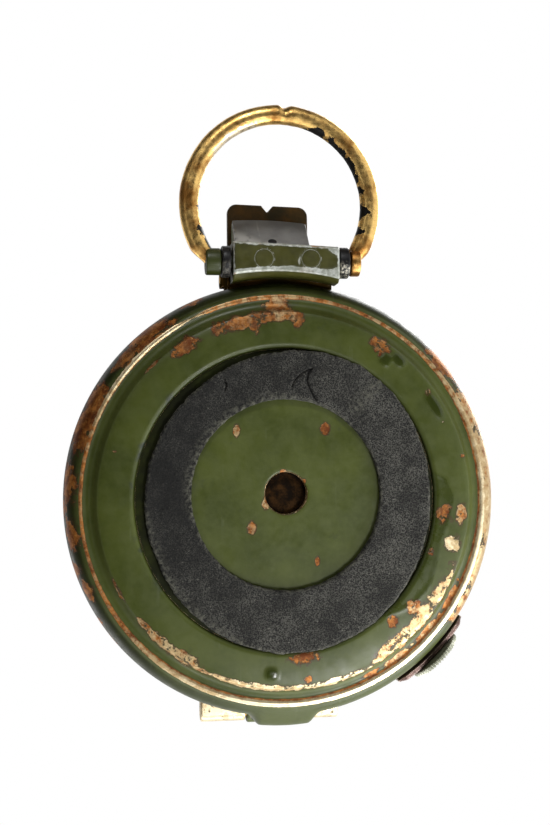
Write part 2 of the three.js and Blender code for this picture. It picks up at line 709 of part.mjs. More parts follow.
add('lid_glass', discOf(lidGlassR, lidGlassZ, lidGlassTop), glass);
add(
  'lid_glass_ring',
  ringBetween(LID_WINDOW_RADIUS, lidGlassR, lidRingTop - LID_RING_THICKNESS, lidRingTop),
  brass,
);
add('lid_hinge_pin', rodX(HINGE_PIN_RADIUS, -knuckleOut, knuckleOut, hingeY, hingeZ), brass);

// Prism bracket: a plate on the case wall, a shelf over the ring block and two ears
function bracketEar(from, to) {
  const ear = new THREE.Shape();
  ear.moveTo(blockY, bracketZ);
  ear.lineTo(bracketY, bracketZ);
  ear.lineTo(bracketY, stepZ);
  ear.lineTo(plateY, stepZ);
  ear.lineTo(prismY + EAR_RADIUS, prismZ - EAR_RADIUS);
  ear.absarc(prismY, prismZ, EAR_RADIUS, 0, Math.PI);
  ear.lineTo(blockY, shelfTop + SHELF_THICKNESS);
  return drawnAlongX(ear, from, to);
}

function prismBracket() {
  const plate = block(-halfBracket, halfBracket, plateY, bracketY, bracketZ, stepZ);
  const shelf = block(-halfBracket, halfBracket, blockY, bracketY, bracketZ, shelfTop);
  const inside = PRISM_WIDTH / 2 + SIDE;
  const ears = [bracketEar(-halfBracket, -inside), bracketEar(inside, halfBracket)];
  const boreEnd = halfBracket + OVERRUN;
  const holes = [rodX(PRISM_PIN_RADIUS + SEAT, -boreEnd, boreEnd, prismY, prismZ)];
  for (const side of [-1, 1]) {
    const screwX = (side * BRACKET_SCREW_SPACING) / 2;
    const headR = BRACKET_SCREW_HEAD + SEAT;
    const shankR = BRACKET_SCREW_RADIUS + SEAT;
    holes.push(rodY(headR, shankR, screwX, plateY, bracketY, bracketScrewZ));
    const blockX = side * blockScrewX;
    const blockR = BLOCK_SCREW_RADIUS + SEAT;
    holes.push(rodZ(blockR, blockX, blockScrewY, bracketZ - OVERRUN, shelfTop + OVERRUN));
  }
  return cut(joined(plate, shelf, ...ears), ...holes);
}
add('prism_bracket', prismBracket(), olivePaint);

function bracketScrew(x) {
  const head = rodY(BRACKET_SCREW_HEAD, BRACKET_SCREW_RADIUS, x, plateY, bracketY, bracketScrewZ);
  const end = plateY + BRACKET_SCREW_LENGTH;
  const shank = rodY(BRACKET_SCREW_RADIUS, BRACKET_SCREW_RADIUS, x, bracketY - SIDE, end, bracketScrewZ);
  return joined(head, shank);
}
add('bracket_screw_left', bracketScrew(-BRACKET_SCREW_SPACING / 2), brass);
add('bracket_screw_right', bracketScrew(BRACKET_SCREW_SPACING / 2), brass);
add('prism_hinge_pin', rodX(PRISM_PIN_RADIUS, -halfBracket, halfBracket, prismY, prismZ), brass);

// Prism, stowed: its right angle is at the hinge and its long face looks down and out
const eyeZ = prismZ - EYE_DROP;
const pocketIn = prismY - PRISM_PIN_RADIUS - RUN - PRISM_PIN_WALL;
const cheekX = PRISM_WIDTH / 2 - PRISM_CHEEK;
const slopeSum = prismIn + prismTop - PRISM_LEG; // Y plus Z, all over the housing's long face
const pocketSum = slopeSum + PRISM_WALL * Math.SQRT2;
const prismLow = prismTop - PRISM_LEG + PRISM_TIP;

// A right-angled outline in Y and Z: its long face is where Y plus Z has the given sum
function wedge(y, z, sum) {
  return outline([[y, z], [sum - z, z], [y, sum - y]]);
}

function prismBox() {
  const bevel = PRISM_TIP / 2;
  const shell = drawnAlongX(outline([
    [prismIn, prismLow],
    [prismIn, prismTop - bevel],
    [prismIn - bevel, prismTop],
    [prismTipY, prismTop],
    [prismTipY, prismTop - PRISM_TIP],
    [prismIn - PRISM_TIP, prismLow],
  ]), -PRISM_WIDTH / 2, PRISM_WIDTH / 2);
  const pocket = drawnAlongX(wedge(pocketIn, prismTop + OVERRUN, pocketSum), -cheekX, cheekX);
  const eyeHole = rodY(EYE_RADIUS, EYE_RADIUS, 0, pocketIn - OVERRUN, prismIn + OVERRUN, eyeZ);
  const pinBore = rodX(PRISM_PIN_RADIUS + RUN, -PRISM_WIDTH, PRISM_WIDTH, prismY, prismZ);
  return cut(shell, pocket, eyeHole, pinBore);
}
add('prism_box', prismBox(), olivePaint);

const prismGlassTop = prismTop - WINDOW_PLATE - 2 * SEAT;
add(
  'prism_glass',
  drawnAlongX(wedge(pocketIn - RUN, prismGlassTop, pocketSum + RUN), RUN - cheekX, cheekX - RUN),
  glass,
);

function windowPlate() {
  const near = pocketIn - RUN;
  const far = pocketSum - prismGlassTop + RUN;
  const half = cheekX - RUN;
  const plate = outline([[-half, far], [half, far], [half, near], [-half, near]]);
  plate.holes.push(outline([
    [WINDOW_MARGIN - half, far + WINDOW_MARGIN],
    [half - WINDOW_MARGIN, far + WINDOW_MARGIN],
    [half - WINDOW_MARGIN, near - WINDOW_MARGIN],
    [WINDOW_MARGIN - half, near - WINDOW_MARGIN],
  ]));
  return raised(plate, prismTop - WINDOW_PLATE - SEAT, prismTop - SEAT);
}
add('prism_window_plate', windowPlate(), brass);

function eyeLens() {
  const rim = EYE_RADIUS - RUN;
  const lens = turned([
    [0, 0],
    [rim, 0],
    [rim, LENS_THICKNESS - LENS_CROWN],
    [rim / 2, LENS_THICKNESS - LENS_CROWN / 4],
    [0, LENS_THICKNESS],
  ], SMALL_ROUND);
  return lens.rotateX(-Math.PI / 2).translate(0, prismIn - LENS_INSET - LENS_THICKNESS, eyeZ);
}
add('eye_lens', eyeLens(), glass);

// Grey cover on the prism's long face, with the small sighting hole through it
function prismCover() {
  const slopePoint = (z, out) => [slopeSum - z - out * Math.SQRT1_2, z - out * Math.SQRT1_2];
  const high = prismTop - PRISM_TIP;
  const outer = SEAT + PRISM_COVER;
  const plate = drawnAlongX(outline([
    slopePoint(high, SEAT),
    slopePoint(high, outer),
    slopePoint(prismLow, outer),
    slopePoint(prismLow, SEAT),
  ]), -PRISM_WIDTH / 2, PRISM_WIDTH / 2);
  const [holeY, holeZ] = slopePoint((high + prismLow) / 2, outer / 2);
  const length = PRISM_COVER + 2 * OVERRUN;
  const hole = new THREE.CylinderGeometry(PRISM_SIGHT_RADIUS, PRISM_SIGHT_RADIUS, length, SMALL_ROUND);
  return cut(plate, hole.rotateX(Math.PI / 4).translate(0, holeY, holeZ));
}
add('prism_cover', prismCover(), greyPaint);

// Ring block, screwed up under the bracket's shelf, hollowed to fit round the case, with a pivot
// pin in each end
function blockHollow() {
  return turned([
    [0, blockZ - OVERRUN],
    [BLOCK_SLOPE - blockIn, blockZ - OVERRUN],
    [BLOCK_SLOPE - blockIn, blockZ],
    [-blockIn, blockZ + BLOCK_SLOPE_RISE],
    [-blockIn, blockTop + OVERRUN],
    [0, blockTop + OVERRUN],
  ], 2 * ROUND);
}

function ringBlock() {
  const hornY = -Math.sqrt(blockIn ** 2 - halfBracket ** 2); // the ends of its hollow
  const body = drawnAlongX(outline([
    [blockY + BLOCK_EDGE, blockZ],
    [hornY, blockZ],
    [hornY, blockTop],
    [blockY, blockTop],
    [blockY, blockZ + BLOCK_EDGE],
  ]), -halfBracket, halfBracket);
  const headTop = blockZ + BLOCK_SCREW_HEAD_HEIGHT + SEAT;
  const low = blockZ - OVERRUN;
  const holes = [];
  for (const side of [-1, 1]) {
    const x = side * blockScrewX;
    holes.push(rodZ(BLOCK_SCREW_RADIUS + SEAT, x, blockScrewY, low, blockTop + OVERRUN));
    holes.push(rodZ(BLOCK_SCREW_HEAD + SEAT, x, blockScrewY, low, headTop));
    const bore = rodX(RING_PIVOT_RADIUS + SEAT, pivotEnd - SEAT, halfBracket + OVERRUN, 0, 0);
    holes.push(bore.rotateZ(side < 0 ? Math.PI : 0).translate(0, ringY, ringZ));
  }
  return cut(body, blockHollow(), ...holes);
}
add('ring_block', ringBlock(), olivePaint);

function blockScrew() {
  const headTop = blockZ + BLOCK_SCREW_HEAD_HEIGHT;
  return turned([
    [0, blockZ],
    [BLOCK_SCREW_HEAD, blockZ],
    [BLOCK_SCREW_HEAD, headTop],
    [BLOCK_SCREW_RADIUS, headTop],
    [BLOCK_SCREW_RADIUS, shelfTop],
    [0, shelfTop],
  ], SMALL_ROUND);
}

function ringWasher() {
  const outer = washerX + WASHER_THICKNESS;
  const bore = rodX(RING_PIVOT_RADIUS + RUN, washerX - OVERRUN, outer + OVERRUN, 0, 0);
  return cut(rodX(WASHER_RADIUS, washerX, outer, 0, 0), bore);
}

for (const [name, side] of [['left', -1], ['right', 1]]) {
  const turn = side < 0 ? Math.PI : 0;
  const pin = rodX(RING_PIVOT_RADIUS, pivotEnd, eyeEnd, 0, 0);
  add(`block_screw_${name}`, blockScrew().translate(side * blockScrewX, blockScrewY, 0), olivePaint);
  add(`ring_pivot_${name}`, pin.rotateZ(turn).translate(0, ringY, ringZ), brass);
  add(`ring_washer_${name}`, ringWasher().rotateZ(turn).translate(0, ringY, ringZ), steel);
}

// Thumb ring: a bent wire whose ends are eyes on the pivot pins
class RingPath extends THREE.Curve {
  constructor(radius, half) {
    super();
    this.radius = radius;
    this.half = half;
  }

  getPoint(t, target = new THREE.Vector3()) {
    const angle = this.half * (2 * t - 1);
    return target.set(this.radius * Math.sin(angle), -this.radius * Math.cos(angle), 0);
  }
}

const ringHalf = Math.PI - Math.asin((eyeX + eyeEnd) / 2 / ringMeanR);
const ringCentreY = ringY + ringMeanR * Math.cos(ringHalf);

function thumbRing() {
  const wire = new THREE.ExtrudeGeometry(circle(RING_WIRE), {
    steps: RING_STEPS,
    curveSegments: WIRE_SIDES / 2,
    extrudePath: new RingPath(ringMeanR, ringHalf),
  }).translate(0, ringCentreY, ringZ);
  const eyes = [
    rodX(RING_EYE_RADIUS, eyeX, eyeEnd, ringY, ringZ),
    rodX(RING_EYE_RADIUS, -eyeEnd, -eyeX, ringY, ringZ),
  ];
  const boreEnd = eyeEnd + 2 * OVERRUN;
  const bore = rodX(RING_PIVOT_RADIUS + RUN, -boreEnd, boreEnd, ringY, ringZ);
  return cut(joined(wire, ...eyes), bore);
}
add('thumb_ring', thumbRing(), brass);

// The whole compass is centred between the end of the ring and the lid's knuckles
const ringFar = ringCentreY - ringMeanR - RING_WIRE;
compass.position.y = -(ringFar + hingeY + KNUCKLE_RADIUS) / 2;
const model = new THREE.Group();
model.name = 'magnetic_compass';
model.add(compass);

export default model;
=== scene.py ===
"""Looks of the prismatic compass: worn olive paint on brass, seen from the back."""

import math

import bmesh
import bpy
from mathutils import Matrix, Vector, noise


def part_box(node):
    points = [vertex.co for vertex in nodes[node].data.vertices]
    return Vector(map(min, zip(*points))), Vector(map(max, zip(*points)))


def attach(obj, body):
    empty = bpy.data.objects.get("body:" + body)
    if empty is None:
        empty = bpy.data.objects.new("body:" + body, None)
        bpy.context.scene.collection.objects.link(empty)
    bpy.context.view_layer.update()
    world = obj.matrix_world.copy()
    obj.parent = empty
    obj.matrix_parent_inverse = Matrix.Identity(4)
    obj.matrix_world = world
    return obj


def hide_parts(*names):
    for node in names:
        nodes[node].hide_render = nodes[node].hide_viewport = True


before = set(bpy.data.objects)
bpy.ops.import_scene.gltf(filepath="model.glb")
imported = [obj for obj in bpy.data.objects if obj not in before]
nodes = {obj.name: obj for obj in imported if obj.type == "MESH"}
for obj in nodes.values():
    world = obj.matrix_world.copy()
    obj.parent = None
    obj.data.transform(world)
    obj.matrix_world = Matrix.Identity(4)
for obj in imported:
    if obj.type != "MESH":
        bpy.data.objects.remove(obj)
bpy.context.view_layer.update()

# Lengths are millimetres in the part's frame, but Y is measured from the case's own axis.
MM = 0.001
cover_low, cover_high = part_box("back_cover")
CASE_Y = (cover_low.y + cover_high.y) / 2 / MM

# The back, from the middle outwards, and the wall
VENT_R, VENT_Y = 3.15, -0.9
COVER_R, COVER_SEAT_R, COVER_BACK = 20.7, 20.75, 2.25
PAD_R, PAD_IN, PAD_WINDOW_Y, PAD_TOP = 22.3, 14.3, -0.7, 1.1
SHOULDER_R, RECESS_R, RECESS_Z = 23.6, 22.65, 1.15
BAND_Z = 0.35
RIDGE_R, RIDGE_Z = 28.3, 0.9
BEAD_R, BEAD_Z = 30.6, 1.85
FLARE_R, FLARE_Z, FLARE_RISE, FLARE_START = 30.75, 6.5, 4.383, 286.6
CASE_R, STEP_Z = 33.2, 11.5
FLAT_HALF, FLAT_Y, FLAT_LOW = 8.4, -32.2, 5.45

# Inside the case
WEB_R, WEB_LOW = 17.5, 2.7
BOWL_R, BOWL_FLOOR = 27.6, 4.0
GLASS_SEAT_R, GLASS_SEAT_Z = 29.2, 10.2
SPIGOT_R, SPIGOT_TOP = 31.0, 14.1
DIAL_R, DIAL_LOW, DIAL_TOP = 26.0, 8.7, 9.1
NUMBER_R, NUMBER_SIZE = 20.4, 3.4

# Bezel and clamp
BEZEL_R, BEZEL_LOW, BEZEL_TOP = 32.45, 11.8, 16.05
BEZEL_BORE, REBATE_R, LEDGE_R, LEDGE_LOW, LEDGE_TOP = 31.15, 30.25, 28.65, 14.4, 14.8
COIN_TEETH, COIN_DEPTH = 132, 0.16
CLAMP_AZIMUTH, CLAMP_LENGTH, CLAMP_R = 45.5, 14.4, 34.6
STUD_R, STUD_Z = 1.2, 8.5
KNOB_R, KNOB_LOW, KNOB_TEETH, KNOB_DEPTH = 4.5, 34.64, 48, 0.14

# Lid and hinge
LID_R, LID_BORE, LID_LOW, LID_TOP, LID_ROUND = 32.45, 31.05, 16.35, 24.45, 1.6
LID_CEILING, WINDOW_R = 22.65, 19.6
LID_COLLAR_IN, LID_COLLAR_OUT, LID_COLLAR_LOW = 21.7, 23.2, 19.85
HINGE_Y, HINGE_Z, HINGE_EYE, HINGE_PIN = 34.55, 18.15, 1.8, 0.8
LUG_IN, LUG_OUT, LUG_LOW, LUG_HALF, LUG_SWELL = 32.75, 34.7, 10.6, 4.3, 1.5
TONGUE_LOW, TONGUE_TOP, TONGUE_END = 19.25, 20.85, -47.85
TONGUE_HALF, TONGUE_CORNER, TONGUE_ROOT = 6.55, 1.5, -31.2

# Ring block and thumb ring
BLOCK_LEFT, BLOCK_RIGHT = -7.7, 8.5
BLOCK_OUT, BLOCK_LIP, BLOCK_IN = -38.55, -34.55, -33.85
BLOCK_LOW, BLOCK_TOP, BLOCK_ROUND = 0.45, 5.45, 0.5
RIVETS, RIVET_Y = (-3.1, 4.05), -36.22
RING_Y, RING_Z = -36.0, 2.95
RING_MEAN, RING_WIRE = 13.94, 1.48
EYE_IN, EYE_OUT = 9.65, 12.03
PIVOT_R, PIVOT_BORE, PIVOT_END, BOSS_R, WASHER_R = 0.85, 0.95, 5.1, 2.05, 2.4


# Meshes

def polar(radius, degrees):
    angle = math.radians(degrees)
    return radius * math.cos(angle), radius * math.sin(angle)


def turn_between(a, b):
    return (a - b + 180) % 360 - 180


def between(table, x):
    """A value read off a table of [x, value] rows, straight between the rows."""
    for (x0, v0), (x1, v1) in zip(table, table[1:]):
        if x0 <= x <= x1:
            return v0 + (v1 - v0) * (x - x0) / (x1 - x0)
    return table[-1][1]


def eased(start, end, x):
    """Goes smoothly from 0 at start to 1 at end."""
    t = max(0.0, min(1.0, (x - start) / (end - start)))
    return t * t * (3 - 2 * t)


def bump(x, middle, half):
    """Rises to 1 at the middle and dies away on both sides."""
    return math.exp(-((x - middle) / half) ** 2)


def ripple(x, y, depth, scale, seed):
    """Smooth unevenness over X and Y, up to a depth either way."""
    return depth * noise.noise((x * scale, y * scale, seed))


def arc(r, z, across_r, across_z, start, end, steps):
    """Points on part of an ellipse, from one angle to another in degrees."""
    points = []
    for i in range(steps + 1):
        angle = math.radians(start + (end - start) * i / steps)
        points.append((r + across_r * math.cos(angle), z + across_z * math.sin(angle)))
    return points


def smooth_line(points, steps):
    """A smooth line through points."""
    line = []
    for i in range(len(points) - 1):
        a, b, c, d = (Vector(points[max(0, min(len(points) - 1, i + k))]) for k in (-1, 0, 1, 2))
        slope = c - a
        bend = a * 2 - b * 5 + c * 4 - d
        twist = b * 3 - a - c * 3 + d
        for k in range(steps):
            t = k / steps
            line.append(tuple(b + (slope * t + bend * t ** 2 + twist * t ** 3) / 2))
    return line + [points[-1]]


def rounded(corners, steps=4, closed=True):
    """A profile whose corners [r, z, radius] are rounded off."""
    points = []
    count = len(corners)
    for i, (r, z, radius) in enumerate(corners):
        here = Vector((r, z))
        if radius == 0 or (not closed and i in (0, count - 1)):
            points.append((r, z))
            continue
        before = Vector(corners[i - 1][:2]) - here
        after = Vector(corners[(i + 1) % count][:2]) - here
        turn = before.angle(after)
        reach = min(radius / math.tan(turn / 2), before.length * 0.49, after.length * 0.49)
        start, end = here + before.normalized() * reach, here + after.normalized() * reach
        for k in range(steps + 1):
            t = k / steps
            points.append(tuple(start * (1 - t) ** 2 + here * 2 * t * (1 - t) + end * t ** 2))
    return points


def turned(profile, steps=192, wobble=None):
    """Corners and faces of a profile turned about Z. One that starts and ends on the axis stays open."""
    solid = profile[0][0] == 0 and profile[-1][0] == 0
    corners, rows = [], []
    for r, z in profile:
        if r == 0:
            rows.append([len(corners)] * steps)
            corners.append((0, 0, z))
            continue
        rows.append(range(len(corners), len(corners) + steps))
        for i in range(steps):
            swell = wobble(i, r) if wobble else 0
            corners.append((*polar(r + swell, 360 * i / steps), z))
    faces = []
    pairs = list(zip(rows, rows[1:])) + ([] if solid else [(rows[-1], rows[0])])
    for low, high in pairs:
        for i in range(steps):
            k = (i + 1) % steps
            face = []
            for corner in (low[i], low[k], high[k], high[i]):
                if corner not in face:
                    face.append(corner)
            faces.append(face)
    return corners, faces


def drawn_out(outline, low, high, place):
    """An outline drawn from low to high. place turns (a, b, along) into X, Y, Z."""
    count = len(outline)
    corners = [place(a, b, low) for a, b in outline] + [place(a, b, high) for a, b in outline]
    faces = [list(range(count))[::-1], list(range(count, 2 * count))]
    for i in range(count):
        k = (i + 1) % count
        faces.append([i, k, count + k, count + i])
    return corners, faces


def along_x(a, b, along):
    return along, a, b


def along_z(a, b, along):
    return a, b, along


def ring_faces(rows, steps):
    """Faces between closed rings of corners, with the last ring joined to the first."""
    faces = []
    for row in range(rows):
        start, upper = row * steps, (row + 1) % rows * steps
        for i in range(steps):
            k = (i + 1) % steps
            faces.append([start + i, upper + i, upper + k, start + k])
    return faces


def tube_faces(along, sides):
    """Faces of a run of closed sections, with a cap at both ends."""
    faces = []
    for start in range(0, along * sides, sides):
        for k in range(sides):
            n = (k + 1) % sides
            faces.append([start + k, start + n, start + sides + n, start + sides + k])
    return faces + [list(range(sides))[::-1], list(range(along * sides, (along + 1) * sides))]


def link_to_scene(made):
    bpy.context.scene.collection.objects.link(made)


def piece(name, shape, body, material, stands_for, crease=35):
    """A mesh from corners in millimetres about the case's axis. It rides on a body of the part."""
    corners, faces = shape
    mesh = bpy.data.meshes.new(name)
    mesh.from_pydata([(x * MM, (y + CASE_Y) * MM, z * MM) for x, y, z in corners], [], faces)
    mesh.update()
    mesh.shade_smooth()
    mesh.set_sharp_from_angle(angle=math.radians(crease))
    mesh.materials.append(material)
    made = bpy.data.objects.new(name, mesh)
    link_to_scene(made)
    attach(made, body)
    if stands_for:
        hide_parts(*stands_for)
    return made


def facing_out(made):
    """Turns the faces of a closed mesh outwards."""
    mesh = bmesh.new()
    mesh.from_mesh(made.data)
    bmesh.ops.recalc_face_normals(mesh, faces=mesh.faces)
    mesh.to_mesh(made.data)
    mesh.free()
    return made


def soften(made, width, segments, angle):
    """Small rounds on the edges."""
    rounds = made.modifiers.new("edge_rounds", "BEVEL")
    rounds.width = width * MM
    rounds.segments = segments
    rounds.limit_method = "ANGLE"
    rounds.angle_limit = math.radians(angle)
    rounds.harden_normals = True


def mark(made, **marks):
    """Keeps numbers for each corner of a mesh, for its material to read."""
    for name, values in marks.items():
        made.data.attributes.new(name, "FLOAT", "POINT").data.foreach_set("value", values)


def kept(worn):
    """Wear from -1 to 1 is kept as 0 to 2, so that a piece without the mark counts as fully painted."""
    return max(worn, -1.0) + 1


# Shader nodes

def feed(tree, socket, value):
    """Links an output to a socket, or sets the socket to a plain value."""
    if isinstance(value, bpy.types.NodeSocket):
        tree.links.new(value, socket)
    else:
        socket.default_value = value


def put(tree, kind, sockets=None, **settings):
    """Adds a node. Settings are its options, sockets its inputs as values or as links."""
    made = tree.nodes.new("ShaderNode" + kind)
    for name, value in settings.items():
        setattr(made, name, value)
    for name, value in (sockets or {}).items():
        feed(tree, made.inputs[name], value)
    return made


def mix(tree, factor, a, b):
    """Goes from colour a to colour b as the factor goes from 0 to 1."""
    return put(tree, "Mix", {0: factor, 6: a, 7: b}, data_type="RGBA").outputs[2]


def calc(tree, operation, *values):
    return put(tree, "Math", dict(enumerate(values)), operation=operation).outputs[0]


def times(tree, a, b):
    return calc(tree, "MULTIPLY", a, b)


def plus(tree, a, b):
    return calc(tree, "ADD", a, b)


def minus(tree, a, b):
    return calc(tree, "SUBTRACT", a, b)


def larger(tree, a, b):
    return calc(tree, "MAXIMUM", a, b)


def ease(tree, value, low, high, start=0.0, end=1.0):
    """Goes from start to end as the value goes from low to high."""
    sockets = {"Value": value, "From Min": low, "From Max": high, "To Min": start, "To Max": end}
    return put(tree, "MapRange", sockets, interpolation_type="SMOOTHSTEP").outputs[0]


def on_piece(tree):
    """Where a spot lies on the piece itself, in metres."""
    return put(tree, "TexCoord").outputs["Object"]


def marked(tree, name):
    return put(tree, "Attribute", attribute_name=name).outputs["Fac"]


def relief(tree, height, distance):
    return put(tree, "Bump", {"Height": height, "Distance": distance}).outputs[0]


def group(name, inputs, outputs):
    """A node group. Inputs that start as four numbers, and the output Colour, are colours."""
    tree = bpy.data.node_groups.new(name, "ShaderNodeTree")
    for label, start in inputs.items():
        kind = "NodeSocketFloat" if isinstance(start, float) else "NodeSocketColor"
        tree.interface.new_socket(label, in_out="INPUT", socket_type=kind).default_value = start
    for label in outputs:
        kind = "NodeSocketColor" if label == "Colour" else "NodeSocketFloat"
        tree.interface.new_socket(label, in_out="OUTPUT", socket_type=kind)
    return tree, tree.nodes.new("NodeGroupInput").outputs, tree.nodes.new("NodeGroupOutput").inputs


def use(tree, effect, **values):
    sockets = {name.title(): value for name, value in values.items()}
    return put(tree, "Group", sockets, node_tree=effect).outputs


# Effects that finishes share, each a node group

def grain_effect():
    """Noise over the piece itself, at a scale in waves to the metre."""
    tree, given, out = group("grain", {"Scale": 900.0, "Detail": 4.0, "Roughness": 0.55}, ["Value"])
    sockets = {name: given[name] for name in ("Scale", "Detail", "Roughness")}
    sockets["Vector"] = on_piece(tree)
    tree.links.new(put(tree, "TexNoise", sockets).outputs[0], out["Value"])
    return tree


def grain(tree, scale, detail=4.0, rough=0.55):
    return use(tree, GRAIN, scale=scale, detail=detail, roughness=rough)["Value"]


def mottle_effect():
    """Two colours in soft patches, and the mask that they follow."""
    inputs = {"Scale": 300.0, "Detail": 4.0, "Roughness": 0.55, "Low": 0.3, "High": 0.7}
    inputs.update({"First": (0.1, 0.1, 0.1, 1.0), "Second": (0.3, 0.3, 0.3, 1.0)})
    tree, given, out = group("mottle", inputs, ["Mask", "Colour"])
    noisy = grain(tree, given["Scale"], given["Detail"], given["Roughness"])
    patches = ease(tree, noisy, given["Low"], given["High"])
    tree.links.new(patches, out["Mask"])
    tree.links.new(mix(tree, patches, given["First"], given["Second"]), out["Colour"])
    return tree


def mottled(tree, first, second, scale, detail=4.0, rough=0.55, low=0.3, high=0.7):
    noisy = {"scale": scale, "detail": detail, "roughness": rough}
    made = use(tree, MOTTLE, first=first, second=second, low=low, high=high, **noisy)
    return made["Mask"], made["Colour"]


def chipping_effect():
    """Where paint has come off: a mark kept on the mesh, torn up by noise, with the dark rim round it."""
    tree, given, out = group("chipping", {"Bare": 0.0, "Tear": 0.5, "Scale": 700.0}, ["Mask", "Rim"])
    coarse = grain(tree, 560.0, 5.0, 0.6)
    fine = grain(tree, given["Scale"], 6.0, 0.65)
    ragged = minus(tree, plus(tree, times(tree, fine, 1.2), coarse), 1.1)
    bare = minus(tree, given["Bare"], 1.0)
    torn = plus(tree, bare, times(tree, ragged, given["Tear"]))
    tree.links.new(ease(tree, torn, 0.0, 0.14), out["Mask"])
    tree.links.new(ease(tree, torn, -0.34, 0.04), out["Rim"])
    return tree


def rubbed_edge_effect():
    """Where handling has rubbed an edge: the face's normal against that of a rounded edge."""
    tree, given, out = group("rubbed_edges", {"Width": 0.0004, "Reach": 0.5, "Scale": 900.0}, ["Mask"])
    round_normal = put(tree, "Bevel", {"Radius": given["Width"]}, samples=6).outputs[0]
    normal = put(tree, "NewGeometry").outputs["Normal"]
    both = {0: round_normal, 1: normal}
    edge = minus(tree, 1.0, put(tree, "VectorMath", both, operation="DOT_PRODUCT").outputs["Value"])
    torn = grain(tree, given["Scale"], 5.0, 0.6)
    held = times(tree, plus(tree, edge, times(tree, edge, torn)), 3.2)
    line = minus(tree, times(tree, held, torn), minus(tree, 1.0, given["Reach"]))
    tree.links.new(ease(tree, line, 0.0, 0.12), out["Mask"])
    return tree


def crevice_dirt_effect():
    """Painted shade where faces meet: darker as ambient occlusion closes in, broken into patches."""
    tree, given, out = group("crevice_dirt", {"Distance": 0.0015, "Strength": 0.7}, ["Mask"])
    open_sky = put(tree, "AmbientOcclusion", {"Distance": given["Distance"]}, samples=6).outputs["AO"]
    patchy = ease(tree, grain(tree, 650.0), 0.25, 0.75, 0.55, 1.0)
    closed_in = times(tree, minus(tree, 1.0, open_sky), patchy)
    tree.links.new(times(tree, closed_in, given["Strength"]), out["Mask"])
    return tree


def fine_scratch_effect():
    """Thin scratches in a few directions."""
    tree, given, out = group("fine_scratches", {"Amount": 0.5}, ["Mask"])
    total = 0.0
    for turn, scale in ((0.4, 900.0), (1.7, 1300.0), (2.6, 700.0)):
        sockets = {"Vector": on_piece(tree), "Rotation": (0.0, 0.0, turn), "Scale": (1.0, 0.035, 0.035)}
        line = put(tree, "Mapping", sockets).outputs[0]
        streaks = put(tree, "TexNoise", {"Vector": line, "Scale": scale, "Detail": 2.0}).outputs[0]
        total = larger(tree, total, ease(tree, streaks, 0.66, 0.72))
    broken = ease(tree, grain(tree, 260.0, 3.0), 0.48, 0.62)
    tree.links.new(times(tree, times(tree, total, broken), given["Amount"]), out["Mask"])
    return tree


def worn_brass_effect():
    """Brass under the paint: brown where it is dull, gold and then cream where handling polished it, and
    where a painted highlight is marked.
    """
    tree, given, out = group("worn_brass", {"Polish": 0.0}, ["Colour"])
    polish = given["Polish"]
    brown = mottled(tree, (0.15, 0.040, 0.008, 1), (0.50, 0.19, 0.040, 1), 700.0, 6.0, 0.65, 0.38, 0.68)[1]
    flecks = ease(tree, grain(tree, 2400.0, 4.0, 0.7), 0.55, 0.72)
    dull = mix(tree, times(tree, flecks, 0.6), brown, (0.66, 0.36, 0.11, 1))
    patchy = ease(tree, grain(tree, 900.0, 6.0, 0.7), 0.3, 0.7, -0.3, 0.3)
    shine = plus(tree, polish, times(tree, patchy, ease(tree, polish, 0.0, 0.3)))
    warm = mix(tree, ease(tree, shine, 0.05, 0.5), dull, (0.54, 0.39, 0.20, 1))
    cream = mix(tree, ease(tree, shine, 0.5, 1.0), warm, (0.88, 0.75, 0.49, 1))
    tree.links.new(cream, out["Colour"])
    return tree


def olive_coat_effect():
    """Olive paint before it wears: mottled and stained, inky in places, darkened by painted shade where
    marked, darker where it ran.
    """
    inputs = {"Shade": 1.0, "Ink": 0.0, "Grime": 0.0, "Wet": 0.0}
    tree, given, out = group("olive_coat", inputs, ["Colour"])
    paint = mottled(tree, (0.046, 0.060, 0.007, 1), (0.080, 0.098, 0.015, 1), 110.0)[1]
    fine = ease(tree, grain(tree, 1400.0, 5.0), 0.3, 0.7)
    paint = mix(tree, times(tree, fine, 0.22), paint, (0.105, 0.122, 0.030, 1))
    paint = put(tree, "VectorMath", {0: paint, "Scale": given["Shade"]}, operation="SCALE").outputs[0]
    stain = ease(tree, grain(tree, 190.0, 6.0, 0.7), 0.6, 0.74)
    paint = mix(tree, times(tree, stain, 0.4), paint, (0.022, 0.03, 0.02, 1))
    inky = times(tree, given["Ink"], ease(tree, grain(tree, 330.0, 5.0), 0.5, 0.64))
    paint = mix(tree, times(tree, inky, 0.8), paint, (0.010, 0.013, 0.022, 1))
    # Painted shade: darker towards black where the shade mark lies.
    paint = mix(tree, given["Grime"], paint, (0.010, 0.011, 0.005, 1))
    paint = mix(tree, times(tree, given["Wet"], 0.75), paint, (0.026, 0.036, 0.007, 1))
    tree.links.new(paint, out["Colour"])
    return tree


